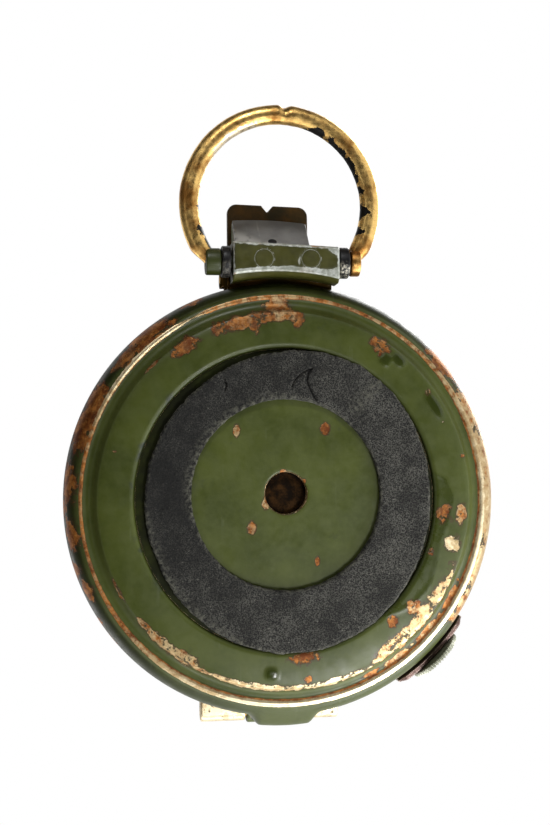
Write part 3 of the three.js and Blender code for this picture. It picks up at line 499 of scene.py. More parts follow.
def aged_brass_effect():
    """Aged brass: brown patina in patches, dark flecks, scratches and painted shade in its corners."""
    outputs = ["Colour", "Metallic", "Roughness", "Height"]
    tree, given, out = group("aged_brass", {"Brown": 0.5}, outputs)
    low = minus(tree, 0.62, times(tree, given["Brown"], 0.3))
    high = plus(tree, low, 0.24)
    bright, brown = (0.94, 0.62, 0.21, 1), (0.38, 0.17, 0.038, 1)
    patina, colour = mottled(tree, bright, brown, 240.0, 6.0, 0.65, low, high)
    flecks = ease(tree, grain(tree, 2600.0, 5.0, 0.7), 0.5, 0.68)
    colour = mix(tree, times(tree, flecks, 0.4), colour, (0.18, 0.082, 0.02, 1))
    scuffs = use(tree, FINE_SCRATCHES, amount=0.7)["Mask"]
    colour = mix(tree, scuffs, colour, (0.8, 0.56, 0.22, 1))
    # Painted shade where faces meet, dark brown.
    dirt = use(tree, CREVICE_DIRT, distance=0.0012, strength=0.8)["Mask"]
    tree.links.new(mix(tree, dirt, colour, (0.02, 0.013, 0.006, 1)), out["Colour"])
    tree.links.new(ease(tree, patina, 0.0, 1.0, 1.0, 0.85), out["Metallic"])
    tree.links.new(ease(tree, grain(tree, 1300.0, 5.0), 0.3, 0.7, 0.26, 0.46), out["Roughness"])
    tree.links.new(times(tree, grain(tree, 2400.0, 5.0), 0.5), out["Height"])
    return tree


def ringed_mark_effect():
    """Marks of one width in millimetres, evenly spaced round the case's axis between two radii."""
    inputs = {"Count": 12.0, "Inner": 20.0, "Outer": 22.0, "Width": 0.2}
    tree, given, out = group("ringed_marks", inputs, ["Mask"])
    place = put(tree, "SeparateXYZ", {0: on_piece(tree)}).outputs
    x = times(tree, place[0], 1 / MM)
    y = minus(tree, times(tree, place[1], 1 / MM), CASE_Y)
    radius = calc(tree, "SQRT", plus(tree, times(tree, x, x), times(tree, y, y)))
    pitch = calc(tree, "DIVIDE", 2 * math.pi, given["Count"])
    turn = calc(tree, "DIVIDE", calc(tree, "ARCTAN2", y, x), pitch)
    off = calc(tree, "ABSOLUTE", minus(tree, turn, calc(tree, "ROUND", turn)))
    away = times(tree, times(tree, off, radius), pitch)
    line = calc(tree, "LESS_THAN", away, times(tree, given["Width"], 0.5))
    beyond = calc(tree, "GREATER_THAN", radius, given["Inner"])
    within = calc(tree, "LESS_THAN", radius, given["Outer"])
    tree.links.new(times(tree, line, times(tree, beyond, within)), out["Mask"])
    return tree


GRAIN = grain_effect()
MOTTLE = mottle_effect()
CHIPPING = chipping_effect()
RUBBED_EDGES = rubbed_edge_effect()
CREVICE_DIRT = crevice_dirt_effect()
FINE_SCRATCHES = fine_scratch_effect()
WORN_BRASS = worn_brass_effect()
OLIVE_COAT = olive_coat_effect()
AGED_BRASS = aged_brass_effect()
RINGED_MARKS = ringed_mark_effect()


# Finishes

FINE_RELIEF = 0.00003


def material(name):
    made = bpy.data.materials.new(name)
    made.use_nodes = True
    tree = made.node_tree
    return made, tree, tree.nodes["Principled BSDF"]


def finish_with(tree, skin, **sockets):
    for name, value in sockets.items():
        feed(tree, skin.inputs[name.replace("_", " ").title().replace("Ior", "IOR")], value)


def fine_relief(tree, scale):
    return relief(tree, grain(tree, scale), FINE_RELIEF)


def scratches(tree, amount):
    return use(tree, FINE_SCRATCHES, amount=amount)["Mask"]


def dirt_in_corners(tree, distance, strength):
    return use(tree, CREVICE_DIRT, distance=distance, strength=strength)["Mask"]


def worn_edges(tree, width, reach, scale):
    return use(tree, RUBBED_EDGES, width=width, reach=reach, scale=scale)["Mask"]


def chipped(tree, mark_name, tear, scale):
    return use(tree, CHIPPING, bare=marked(tree, mark_name), tear=tear, scale=scale)


def olive_roughness(tree, scuffs, wet, bare, polish):
    gloss = ease(tree, grain(tree, 500.0), 0.3, 0.7, 0.34, 0.48)
    painted = minus(tree, plus(tree, gloss, times(tree, scuffs, 0.15)), times(tree, wet, 0.26))
    metal = ease(tree, polish, 0.0, 1.0, 0.52, 0.34)
    return put(tree, "Mix", {0: bare, 2: painted, 3: metal}).outputs[0]


def olive_paint(name, edge_reach, edge_width=0.0004, shade=1.0):
    """Semi-gloss olive paint with chips down to brass, thin scratches, and painted shade in the corners and
    where a mark calls for it.
    """
    made, tree, skin = material(name)
    wet, grimy = marked(tree, "wet"), marked(tree, "grime")
    # The shade mark is painted shade, broken into patches; it also thins the coat and the gloss.
    grime = times(tree, grimy, ease(tree, grain(tree, 260.0, 5.0, 0.65), 0.2, 0.6, 0.55, 1.0))
    paint = use(tree, OLIVE_COAT, shade=shade, ink=marked(tree, "blue"), grime=grime, wet=wet)["Colour"]
    scuffs = scratches(tree, 0.35)
    paint = mix(tree, times(tree, scuffs, 0.35), paint, (0.17, 0.19, 0.11, 1))
    # Painted shade where faces meet.
    paint = mix(tree, dirt_in_corners(tree, 0.001, 0.6), paint, (0.012, 0.012, 0.007, 1))
    chips = chipped(tree, "bare", 1.0, 1700.0)
    edges = worn_edges(tree, edge_width, edge_reach, 1100.0)
    bare = larger(tree, chips["Mask"], edges)
    polish = larger(tree, marked(tree, "polish"), times(tree, edges, 0.6))
    rim = times(tree, minus(tree, chips["Rim"], bare), 0.85)
    colour = mix(tree, rim, paint, (0.060, 0.030, 0.010, 1))
    colour = mix(tree, bare, colour, use(tree, WORN_BRASS, polish=polish)["Colour"])
    height = minus(tree, times(tree, grain(tree, 900.0, 3.0), 0.25), bare)
    height = plus(tree, height, times(tree, grain(tree, 3200.0, 3.0), 0.08))
    coat = minus(tree, 1.0, larger(tree, bare, grime))
    finish_with(
        tree, skin, base_color=colour, roughness=olive_roughness(tree, scuffs, wet, bare, polish),
        metallic=times(tree, bare, ease(tree, polish, 0.0, 0.6, 0.5, 0.85)),
        coat_weight=times(tree, coat, 0.07), coat_roughness=0.2,
        specular_ior_level=ease(tree, grimy, 0.0, 1.0, 0.36, 0.1), normal=relief(tree, height, 0.00006),
    )
    return made


def browned_paint(name, shine):
    """Old paint worn thin over brown metal, brighter along the edges, and made darker and browner than the
    olive paint as painted shade.
    """
    made, tree, skin = material(name)
    dark, light = (0.028, 0.020, 0.005, 1), (0.100, 0.050, 0.011, 1)
    broad, colour = mottled(tree, dark, light, 240.0, 5.0, 0.6, 0.35)
    colour = mix(tree, scratches(tree, 0.6), colour, (0.16, 0.10, 0.04, 1))
    edges = worn_edges(tree, 0.0003, 0.5, 1000.0)
    colour = mix(tree, edges, colour, (0.45, 0.27, 0.09, 1))
    finish_with(
        tree, skin, base_color=colour, metallic=times(tree, edges, 0.9), specular_ior_level=shine,
        roughness=ease(tree, broad, 0.0, 1.0, 0.55, 0.4), normal=fine_relief(tree, 2200.0),
    )
    return made


def antique_brass(name, brown):
    """Aged brass, browner or brighter."""
    made, tree, skin = material(name)
    brass = use(tree, AGED_BRASS, brown=brown)
    finish_with(
        tree, skin, base_color=brass["Colour"], roughness=brass["Roughness"], metallic=brass["Metallic"],
        normal=relief(tree, brass["Height"], 0.00004),
    )
    return made


def blacked_brass(name):
    """Aged brass with the remains of black paint, and a silvery stretch that is also a painted highlight.
    """
    made, tree, skin = material(name)
    brass = use(tree, AGED_BRASS, brown=0.62)
    black = chipped(tree, "blacked", 0.9, 1500.0)["Mask"]
    silver = chipped(tree, "silvered", 0.9, 1900.0)["Mask"]
    # Pale silver patches, partly a painted highlight on the inner side.
    colour = mix(tree, times(tree, silver, 0.7), brass["Colour"], (0.60, 0.57, 0.48, 1))
    colour = mix(tree, black, colour, (0.008, 0.007, 0.006, 1))
    height = plus(tree, brass["Height"], times(tree, black, 0.8))
    finish_with(
        tree, skin, base_color=colour, roughness=brass["Roughness"], specular_ior_level=0.15,
        metallic=times(tree, brass["Metallic"], ease(tree, black, 0.0, 1.0, 1.0, 0.0)),
        normal=relief(tree, height, 0.00004),
    )
    return made


def sooty_brass(name):
    """Brass dark with age, painted almost black as the shade deep in the vent, with a brown bloom."""
    made, tree, skin = material(name)
    black, brown = (0.006, 0.003, 0.001, 1), (0.050, 0.022, 0.005, 1)
    bloom, colour = mottled(tree, black, brown, 700.0, 5.0, 0.65, 0.4, 0.75)
    finish_with(
        tree, skin, base_color=colour, metallic=0.0, specular_ior_level=0.1,
        roughness=ease(tree, bloom, 0.0, 1.0, 0.85, 0.7), normal=fine_relief(tree, 2000.0),
    )
    return made


def dark_steel(name, tone=0.01):
    """Blackened steel, worn bright along its edges and in specks where it is rubbed."""
    made, tree, skin = material(name)
    specks = ease(tree, grain(tree, 2100.0, 6.0, 0.75), 0.47, 0.6)
    rubbed = times(tree, specks, marked(tree, "rubbed"))
    worn = larger(tree, worn_edges(tree, 0.0003, 0.35, 1500.0), rubbed)
    deep, grey = (tone * 0.5, tone * 0.5, tone * 0.6, 1), (tone * 1.5, tone * 1.4, tone * 1.4, 1)
    black = mix(tree, grain(tree, 600.0), deep, grey)
    finish_with(
        tree, skin, base_color=mix(tree, worn, black, (0.50, 0.46, 0.37, 1)), specular_ior_level=0.3,
        roughness=ease(tree, grain(tree, 2100.0), 0.3, 0.7, 0.28, 0.5), metallic=times(tree, worn, 0.9),
        normal=fine_relief(tree, 2600.0),
    )
    return made


def plain_steel(name):
    """Machined steel with a fine turned grain."""
    made, tree, skin = material(name)
    drawn = put(tree, "Mapping", {"Vector": on_piece(tree), "Scale": (1.0, 1.0, 0.05)}).outputs[0]
    sockets = {"Vector": drawn, "Scale": 2200.0, "Detail": 3.0, "Roughness": 0.5}
    lines = put(tree, "TexNoise", sockets).outputs[0]
    colour = mix(tree, lines, (0.30, 0.30, 0.29, 1), (0.52, 0.51, 0.48, 1))
    # Painted shade where faces meet.
    colour = mix(tree, dirt_in_corners(tree, 0.001, 0.6), colour, (0.05, 0.045, 0.035, 1))
    finish_with(
        tree, skin, base_color=colour, metallic=1.0, roughness=ease(tree, lines, 0.3, 0.7, 0.28, 0.42),
        normal=relief(tree, lines, 0.00002),
    )
    return made


def knob_metal(name):
    """Nickelled knob, dull grey-green with painted shade between its ridges."""
    made, tree, skin = material(name)
    dull, pale = (0.24, 0.25, 0.18, 1), (0.44, 0.44, 0.35, 1)
    patches, colour = mottled(tree, dull, pale, 700.0, 5.0, low=0.35)
    # Painted shade between the ridges.
    colour = mix(tree, dirt_in_corners(tree, 0.0003, 0.4), colour, (0.02, 0.022, 0.012, 1))
    colour = mix(tree, worn_edges(tree, 0.0002, 0.55, 2000.0), colour, (0.62, 0.6, 0.5, 1))
    finish_with(
        tree, skin, base_color=colour, metallic=0.35, roughness=ease(tree, patches, 0.0, 1.0, 0.5, 0.34),
        normal=fine_relief(tree, 3000.0),
    )
    return made


def clamp_metal(name):
    """Browned plate with a rubbed outer edge, pale enough to be also a painted highlight along it."""
    made, tree, skin = material(name)
    dark, light = (0.09, 0.056, 0.047, 1), (0.33, 0.20, 0.17, 1)
    patches, colour = mottled(tree, dark, light, 500.0, 6.0, 0.65, 0.35)
    edges = worn_edges(tree, 0.0003, 0.8, 1200.0)
    finish_with(
        # The pale rubbed edge is partly a painted highlight: it stays bright where the knob shades the
        # plate.
        tree, skin, base_color=mix(tree, edges, colour, (0.85, 0.70, 0.62, 1)),
        metallic=ease(tree, edges, 0.0, 1.0, 0.4, 0.7), roughness=ease(tree, patches, 0.0, 1.0, 0.55, 0.4),
        normal=fine_relief(tree, 1900.0),
    )
    return made


def grey_paint(name):
    """Thin matt grey paint with scuffs and a paler rubbed corner."""
    made, tree, skin = material(name)
    broad, colour = mottled(tree, (0.24, 0.24, 0.235, 1), (0.34, 0.34, 0.335, 1), 260.0)
    rubbed = times(tree, marked(tree, "rubbed"), ease(tree, grain(tree, 700.0, 5.0), 0.25, 0.5))
    colour = mix(tree, rubbed, colour, (0.60, 0.60, 0.58, 1))
    colour = mix(tree, scratches(tree, 0.7), colour, (0.5, 0.5, 0.49, 1))
    edges = worn_edges(tree, 0.0003, 0.45, 1100.0)
    finish_with(
        tree, skin, base_color=mix(tree, edges, colour, (0.5, 0.48, 0.42, 1)),
        metallic=ease(tree, edges, 0.0, 1.0, 0.0, 0.8), roughness=ease(tree, broad, 0.0, 1.0, 0.42, 0.55),
        normal=fine_relief(tree, 2500.0),
    )
    return made


def worn_block_paint(name):
    """Olive paint on a tinned block, worn to pale metal round its faces."""
    made, tree, skin = material(name)
    paint = mottled(tree, (0.048, 0.047, 0.007, 1), (0.080, 0.078, 0.014, 1), 420.0)[1]
    # Painted shade where faces meet.
    paint = mix(tree, dirt_in_corners(tree, 0.0008, 0.9), paint, (0.012, 0.012, 0.006, 1))
    chips = chipped(tree, "bare", 0.75, 1700.0)
    bare = larger(tree, chips["Mask"], worn_edges(tree, 0.0003, 0.45, 900.0))
    pale = mottled(tree, (0.40, 0.42, 0.35, 1), (0.80, 0.82, 0.76, 1), 1300.0, 5.0)[1]
    warm = times(tree, ease(tree, grain(tree, 330.0, 3.0), 0.55, 0.68), marked(tree, "polish"))
    pale = mix(tree, warm, pale, (0.56, 0.27, 0.09, 1))
    rim = times(tree, minus(tree, chips["Rim"], bare), 0.35)
    colour = mix(tree, rim, paint, (0.13, 0.135, 0.085, 1))
    finish_with(
        tree, skin, base_color=mix(tree, bare, colour, pale), metallic=times(tree, bare, 0.25),
        roughness=ease(tree, grain(tree, 900.0), 0.3, 0.7, 0.32, 0.48),
        normal=relief(tree, minus(tree, times(tree, grain(tree, 1800.0), 0.3), bare), 0.00005),
    )
    return made


def pad_rubber(name):
    """Granular black pad: fine grit, pale specks, and dust along its cut edges and on its lower side. The
    dust also paints light, paler on the side towards the key lamp and darker away from it, and a pale line
    along the fold is a painted highlight.
    """
    made, tree, skin = material(name)
    grit = grain(tree, 5200.0, 3.0, 0.7)
    lumps = grain(tree, 1500.0, 4.0, 0.6)
    black, grey = (0.003, 0.0028, 0.0025, 1), (0.010, 0.0096, 0.0085, 1)
    clouds, colour = mottled(tree, black, grey, 210.0, 6.0, 0.65)
    # Real dust, and painted light: the pad is paler on its lit side.
    dust = times(tree, marked(tree, "dust"), ease(tree, clouds, 0.0, 1.0, 0.35, 1.0))
    dusty = times(tree, ease(tree, grit, 0.45, 0.58), dust)
    colour = mix(tree, dusty, colour, (0.15, 0.145, 0.125, 1))
    specks = times(tree, ease(tree, grain(tree, 3600.0, 2.0), 0.6, 0.7), ease(tree, lumps, 0.42, 0.6))
    specks = times(tree, specks, ease(tree, dust, 0.1, 0.6, 0.2, 0.7))
    colour = mix(tree, specks, colour, (0.26, 0.25, 0.21, 1))
    # Fray at the cut edges, and along the fold a pale painted highlight.
    fray = times(tree, marked(tree, "fray"), ease(tree, lumps, 0.4, 0.66))
    colour = mix(tree, times(tree, fray, 0.8), colour, (0.20, 0.195, 0.15, 1))
    split = ease(tree, marked(tree, "split"), 0.25, 0.8)
    finish_with(
        tree, skin, base_color=mix(tree, split, colour, (0.004, 0.004, 0.004, 1)), specular_ior_level=0.3,
        roughness=ease(tree, grit, 0.3, 0.7, 0.7, 0.95),
        normal=relief(tree, plus(tree, grit, lumps), 0.0003),
    )
    return made


def seal_rubber(name):
    made, tree, skin = material(name)
    colour = mix(tree, grain(tree, 900.0), (0.010, 0.010, 0.010, 1), (0.032, 0.032, 0.033, 1))
    finish_with(tree, skin, base_color=colour, roughness=0.7, normal=fine_relief(tree, 2600.0))
    return made


def clear_glass(name):
    """Clear glass with faint smears."""
    made, tree, skin = material(name)
    smear = ease(tree, grain(tree, 130.0, 5.0), 0.45, 0.75, 0.015, 0.09)
    tint = mottled(tree, (0.93, 0.97, 0.95, 1), (0.97, 0.985, 0.975, 1), 60.0)[1]
    finish_with(
        tree, skin, base_color=tint, roughness=smear, metallic=0.0, transmission_weight=1.0, ior=1.5,
    )
    return made


def ringed_marks(tree, *rows):
    """Rings of marks, one for each row of count, inner and outer radius, and width."""
    marks = 0.0
    for count, inner, outer, width in rows:
        ring = use(tree, RINGED_MARKS, count=count, inner=inner, outer=outer, width=width)["Mask"]
        marks = larger(tree, marks, ring)
    return marks


def dial_face(name):
    """Pearl card with rings of degree marks."""
    made, tree, skin = material(name)
    card = mottled(tree, (0.66, 0.62, 0.50, 1), (0.78, 0.75, 0.64, 1), 120.0, 5.0)[1]
    fine, tens, thirties = (180, 24.4, 25.4, 0.14), (36, 23.6, 25.4, 0.22), (12, 12.6, 15.6, 0.3)
    ink = ringed_marks(tree, fine, tens, thirties)
    finish_with(
        tree, skin, base_color=mix(tree, ink, card, (0.012, 0.012, 0.013, 1)),
        roughness=ease(tree, grain(tree, 700.0), 0.3, 0.7, 0.35, 0.5),
        normal=relief(tree, grain(tree, 1800.0), 0.00001),
    )
    return made


def dial_ink(name):
    made, tree, skin = material(name)
    colour = mix(tree, grain(tree, 1500.0), (0.010, 0.010, 0.011, 1), (0.022, 0.021, 0.020, 1))
    finish_with(tree, skin, base_color=colour, roughness=0.5)
    return made


def scale_ring_paint(name):
    """Dark paint with rings of pale degree marks."""
    made, tree, skin = material(name)
    paint = mottled(tree, (0.020, 0.022, 0.010, 1), (0.040, 0.042, 0.020, 1), 300.0)[1]
    marks = ringed_marks(tree, (72, 28.7, 29.4, 0.2), (36, 28.7, 30.0, 0.26))
    finish_with(
        tree, skin, base_color=mix(tree, marks, paint, (0.62, 0.62, 0.52, 1)),
        roughness=ease(tree, grain(tree, 900.0), 0.3, 0.7, 0.35, 0.5),
        normal=relief(tree, grain(tree, 2600.0), 0.00002),
    )
    return made


CASE_PAINT = olive_paint("case_paint", edge_reach=0.15)
FITTING_PAINT = olive_paint("fitting_paint", edge_reach=0.6, edge_width=0.0003)
KNUCKLE_PAINT = olive_paint("knuckle_paint", edge_reach=0.85, edge_width=0.0007)
LID_PAINT = olive_paint("lid_paint", edge_reach=0.55, edge_width=0.0005)
BOSS_PAINT = olive_paint("boss_paint", edge_reach=0.65, shade=0.6)
# Painted shade: the tongue and the bracket get a darker, browner copy of the olive paint.
TONGUE_PAINT = browned_paint("tongue_paint", 0.2)
BRACKET_PAINT = browned_paint("bracket_paint", 0.0)
BLOCK_PAINT = worn_block_paint("block_paint")
RING_BRASS = blacked_brass("ring_brass")
BOSS_BRASS = antique_brass("boss_brass", 0.35)
COPPER_BOSS = antique_brass("copper_boss", 1.0)
INNER_BRASS = antique_brass("inner_brass", 0.7)
SOOTY_BRASS = sooty_brass("sooty_brass")
BEZEL_BRASS = antique_brass("bezel_brass", 0.45)
WASHER_STEEL = dark_steel("washer_steel")
BLACK_STEEL = dark_steel("black_steel", 0.02)
BRIGHT_STEEL = plain_steel("bright_steel")
KNOB_METAL = knob_metal("knob_metal")
CLAMP_METAL = clamp_metal("clamp_metal")
COVER_GREY = grey_paint("cover_grey")
PAD_RUBBER = pad_rubber("pad_rubber")
SEAL_RUBBER = seal_rubber("seal_rubber")
CLEAR_GLASS = clear_glass("clear_glass")
DIAL_FACE = dial_face("dial_face")
DIAL_INK = dial_ink("dial_ink")
SCALE_PAINT = scale_ring_paint("scale_paint")


# Case. Wear is laid out as it lies on the back: degrees from +X towards +Y, radius in millimetres.

# Degrees, radius, half length in degrees, half width, how polished the brass is
BACK_CHIPS = [
    (6, 24.3, 3.0, 1.1, 0.1), (5.4, 27.1, 3.3, 0.8, 0.2), (15.5, 26.5, 2.6, 1.2, 0.75),
    (20.5, 23.6, 1.2, 0.5, 0.0), (40.4, 25.3, 2.6, 1.0, 0.25), (49.5, 24.4, 2.0, 0.9, 0.0),
    (84, 23.9, 4.8, 0.9, 0.0), (83.6, 27.1, 1.2, 0.6, 0.2), (29, 27.8, 7.0, 0.5, 0.4),
    (38, 27.4, 11.0, 1.05, 0.38), (50, 27.4, 10.0, 1.05, 0.38), (57, 27.9, 6.0, 0.5, 0.4),
    (43, 28.0, 17.0, 0.4, 0.6), (30, 29.6, 4.0, 0.45, 0.15), (43, 29.65, 6.0, 0.5, 0.25),
    (55, 29.65, 5.0, 0.5, 0.25), (64, 29.6, 3.0, 0.4, 0.15), (77, 28.2, 12.0, 0.5, 0.8),
    (97, 28.2, 12.0, 0.5, 0.7), (110, 28.2, 6.0, 0.4, 0.5), (129, 28.0, 9.0, 0.75, 0.45),
    (123, 27.8, 4.0, 0.9, 0.35), (137, 28.1, 5.0, 0.5, 0.3), (118, 28.25, 4.0, 0.3, 0.3),
    (237, 27.5, 4.5, 1.0, 0.1), (233, 27.2, 2.0, 0.7, 0.0), (249, 27.5, 3.2, 1.0, 0.1),
    (255, 27.4, 4.0, 1.1, 0.15), (262, 27.6, 6.0, 1.0, 0.15), (270, 27.7, 5.0, 0.9, 0.2),
    (274, 27.1, 2.0, 1.2, 0.1), (260, 26.6, 1.6, 1.1, 0.1), (302, 27.4, 2.8, 1.2, 0.15),
    (305, 26.7, 1.8, 0.9, 0.05), (324, 27.2, 1.2, 0.5, 0.2), (268, 29.2, 3.6, 1.4, 0.2),
    # The fully polished specks at 334.6 and 311.6 degrees, beside the paint drops, are painted glints.
    (347, 28.1, 0.8, 0.35, 0.2), (334.6, 26.9, 0.5, 0.24, 1.0), (311.6, 27.0, 0.4, 0.2, 1.0),
    (196, 26.6, 0.5, 0.25, 0.3), (152, 28.3, 4.0, 0.25, 0.2), (225, 28.3, 3.0, 0.2, 0.2),
]
# Degrees, height on the wall, half length in degrees, half height, polish
WALL_CHIPS = [
    (199, 3.3, 6.0, 2.2, 0.05), (208, 3.2, 5.0, 2.0, 0.05), (231, 3.3, 6.5, 2.2, 0.05),
    (222, 3.0, 4.0, 1.2, 0.1), (185, 3.7, 5.5, 1.5, 0.0), (178.5, 5.7, 2.4, 2.1, 0.0),
    (171, 3.5, 4.4, 1.3, 0.0), (162, 4.9, 2.2, 2.0, 0.0), (156, 3.5, 3.2, 1.0, 0.1),
    (147, 5.6, 1.7, 1.4, 0.0), (191, 6.6, 1.6, 1.0, 0.0), (245, 4.6, 4.0, 1.2, 0.0),
    (320, 3.3, 6.0, 1.5, 0.1), (335, 3.1, 7.0, 2.1, 0.3), (350, 3.0, 9.0, 2.4, 0.45),
    (5, 3.0, 10.0, 2.4, 0.5), (20, 3.2, 8.0, 2.2, 0.45), (32, 3.4, 5.0, 1.7, 0.3),
    (58, 5.0, 3.0, 0.8, 0.3), (104, 6.0, 3.0, 1.0, 0.2), (142, 6.2, 3.0, 1.2, 0.1),
    (120, 9.5, 4.0, 1.2, 0.2), (300, 10.4, 5.0, 1.0, 0.2), (20, 10.6, 6.0, 1.0, 0.3),
    (75, 10.9, 5.0, 0.8, 0.3), (160, 10.8, 6.0, 0.9, 0.2), (210, 10.6, 5.0, 0.9, 0.2),
    (336, 10.9, 5.0, 0.7, 0.2),
]
# Degrees against the half width of the worn line along the bead, and against its polish, which also paints
# the bead's highlight: cream where the bead catches the light
BEAD_LINE = [
    (0, 0.6), (20, 0.68), (45, 0.72), (70, 0.68), (90, 0.62), (115, 0.55), (128, 0.5), (140, 0.38),
    (160, 0.28), (180, 0.26), (200, 0.32), (215, 0.42), (230, 0.42), (238, 0.32), (243, 0.06), (248, 0.34),
    (270, 0.38), (285, 0.28), (300, 0.27), (320, 0.36), (335, 0.52), (350, 0.58), (360, 0.6),
]
BEAD_POLISH = [
    (0, 0.85), (15, 1.0), (100, 1.0), (120, 0.6), (140, 0.15), (190, 0.15), (200, 0.35), (220, 0.9),
    (235, 0.9), (250, 0.3), (270, 0.25), (290, 0.15), (310, 0.28), (330, 0.42), (345, 0.6), (360, 0.85),
]
# Drops of paint that ran and set: degrees, radius, half length along the drop, half width
PAINT_DROPS = [
    (95.4, 26.1, 1.05, 1.05), (310, 27.2, 0.9, 1.3), (306.5, 26.0, 1.1, 1.0), (329.1, 26.9, 0.85, 2.3),
]
DROP_DEPTH, SAG_DEPTH, DROP_SQUARENESS = 0.17, 0.05, 2.6
# Degrees against the radius where a sag of thicker paint ends, on the right of the pad
PAINT_POOL = [
    (-180, 20), (-11, 20), (-9.5, 22.8), (-6.6, 24.75), (0, 25.8), (8.9, 25.2), (15.9, 24.6), (22.5, 25.1),
    (31.7, 25.8), (39, 25.4), (46, 24.2), (52, 22.8), (54, 20), (180, 20),
]
# Radius and height of the cove beside the ridge, and of the bead
COVE_AND_BEAD = [
    (28.1, 0.73), (28.28, 0.86), (28.5, 1.12), (28.8, 1.5), (29.15, 1.82), (29.5, 1.98), (29.85, 2.03),
    (30.2, 1.96), (BEAD_R, BEAD_Z), (30.9, 1.9), (31.2, 2.08), (31.45, 2.3),
]


def chip_at(chips, degrees, place):
    """How bare a spot is, above 0 inside a chip, and how polished."""
    bare, polish = -1.0, 0.0
    for centre, middle, half_turn, half_width, shine in chips:
        along = turn_between(degrees, centre) / half_turn
        along += 0.5 * noise.noise((degrees * 0.45, place * 1.1, 3.0))
        across = (place - middle) / half_width
        across += 0.5 * noise.noise((degrees * 0.45, place * 1.1, 17.0))
        inside = 1 - math.hypot(along, across)
        if inside > bare:
            bare, polish = inside, shine
    return bare, polish


def case_profile():
    """The case's section, from the edge of the back cover round by the wall and back through the bowl."""
    back = [(COVER_SEAT_R, RECESS_Z), (21.2, RECESS_Z)]
    back += arc(SHOULDER_R, RECESS_Z, SHOULDER_R - RECESS_R, RECESS_Z - BAND_Z, 180, 270, 18)
    back += arc(SHOULDER_R, RIDGE_Z, RIDGE_R - SHOULDER_R, RIDGE_Z - BAND_Z, 270, 342, 20)[1:]
    back += smooth_line(COVE_AND_BEAD, 3)[1:]
    back += arc(FLARE_R, FLARE_Z, CASE_R - FLARE_R, FLARE_RISE, FLARE_START, 360, 24)[1:]
    wall = [(CASE_R, FLARE_Z + (STEP_Z - 0.3 - FLARE_Z) * i / 8) for i in range(1, 9)]
    spigot = [
        (CASE_R - 0.09, STEP_Z - 0.09), (CASE_R - 0.3, STEP_Z), (SPIGOT_R, STEP_Z),
        (SPIGOT_R, SPIGOT_TOP - 0.1), (SPIGOT_R - 0.1, SPIGOT_TOP),
    ]
    bowl = [
        (GLASS_SEAT_R + 0.1, SPIGOT_TOP), (GLASS_SEAT_R, SPIGOT_TOP - 0.1), (GLASS_SEAT_R, GLASS_SEAT_Z),
        (BOWL_R, GLASS_SEAT_Z), (BOWL_R, BOWL_FLOOR), (WEB_R, BOWL_FLOOR), (WEB_R, WEB_LOW),
        (COVER_SEAT_R, WEB_LOW),
    ]
    return back + wall + spigot + bowl


def worn_case(degrees, radius, z, outside):
    """How bare the case is at a spot, and how polished: its chips, and the worn line along the bead, whose
    polish is also a painted highlight.
    """
    bare, polish = -1.0, 0.0
    if z < WEB_LOW + 0.05 and radius < BEAD_R:
        bare, polish = chip_at(BACK_CHIPS, degrees, radius)
    elif outside:
        bare, polish = chip_at(WALL_CHIPS, degrees, z)
    if outside and z < 5:
        off = radius - BEAD_R
        if off >= 0:
            off = math.hypot(off, (z - BEAD_Z) * 0.9)
        line = 2.6 * (1 - abs(off) / between(BEAD_LINE, degrees))
        # Along the bead the polish paints the highlight as well as the wear.
        if line > bare:
            bare, polish = line, between(BEAD_POLISH, degrees) * eased(-0.5, -0.12, off)
    return bare, polish


def paint_run(degrees, radius):
    """Paint that ran and set: how thick it stands, how far it is a drop, and how wet it looks."""
    thick, drop = 0.0, 0.0
    for at, middle, half_long, half_wide in PAINT_DROPS:
        along = abs(math.radians(turn_between(degrees, at)) * radius / half_wide)
        across = abs((radius - middle) / half_long)
        reach = (along ** DROP_SQUARENESS + across ** DROP_SQUARENESS) ** (1 / DROP_SQUARENESS)
        here = eased(1.2, 0.45, reach)
        thick += DROP_DEPTH * here
        drop = max(drop, here)
    edge = radius - between(PAINT_POOL, turn_between(degrees, 0))
    thick += SAG_DEPTH * eased(0.25, -0.05, edge) * eased(-0.9, -0.3, edge)
    return thick, drop, max(drop, 0.5 * eased(0.12, -0.1, edge))


def grime_on_case(degrees, radius, z):
    """Painted shade on the floor of the recess and, more on one side, on the wall beyond the bead."""
    # Painted shade is heaviest on the side away from the key lamp, round 215 degrees.
    dull_side = 0.35 + 0.65 * eased(125, 75, abs(turn_between(degrees, 215)))
    floor = eased(RECESS_R + 0.35, RECESS_R - 0.1, radius) if z < 2 else 0.0
    return max(floor, 0.8 * dull_side * eased(BEAD_R + 0.5, BEAD_R + 1.2, radius))


def ink_on_case(degrees, radius):
    """A dark blue stain along the shoulder beside the pad."""
    return max(0.0, 1 - abs(radius - 23.0) / 0.9) * eased(60, 25, abs(turn_between(degrees, 188)))


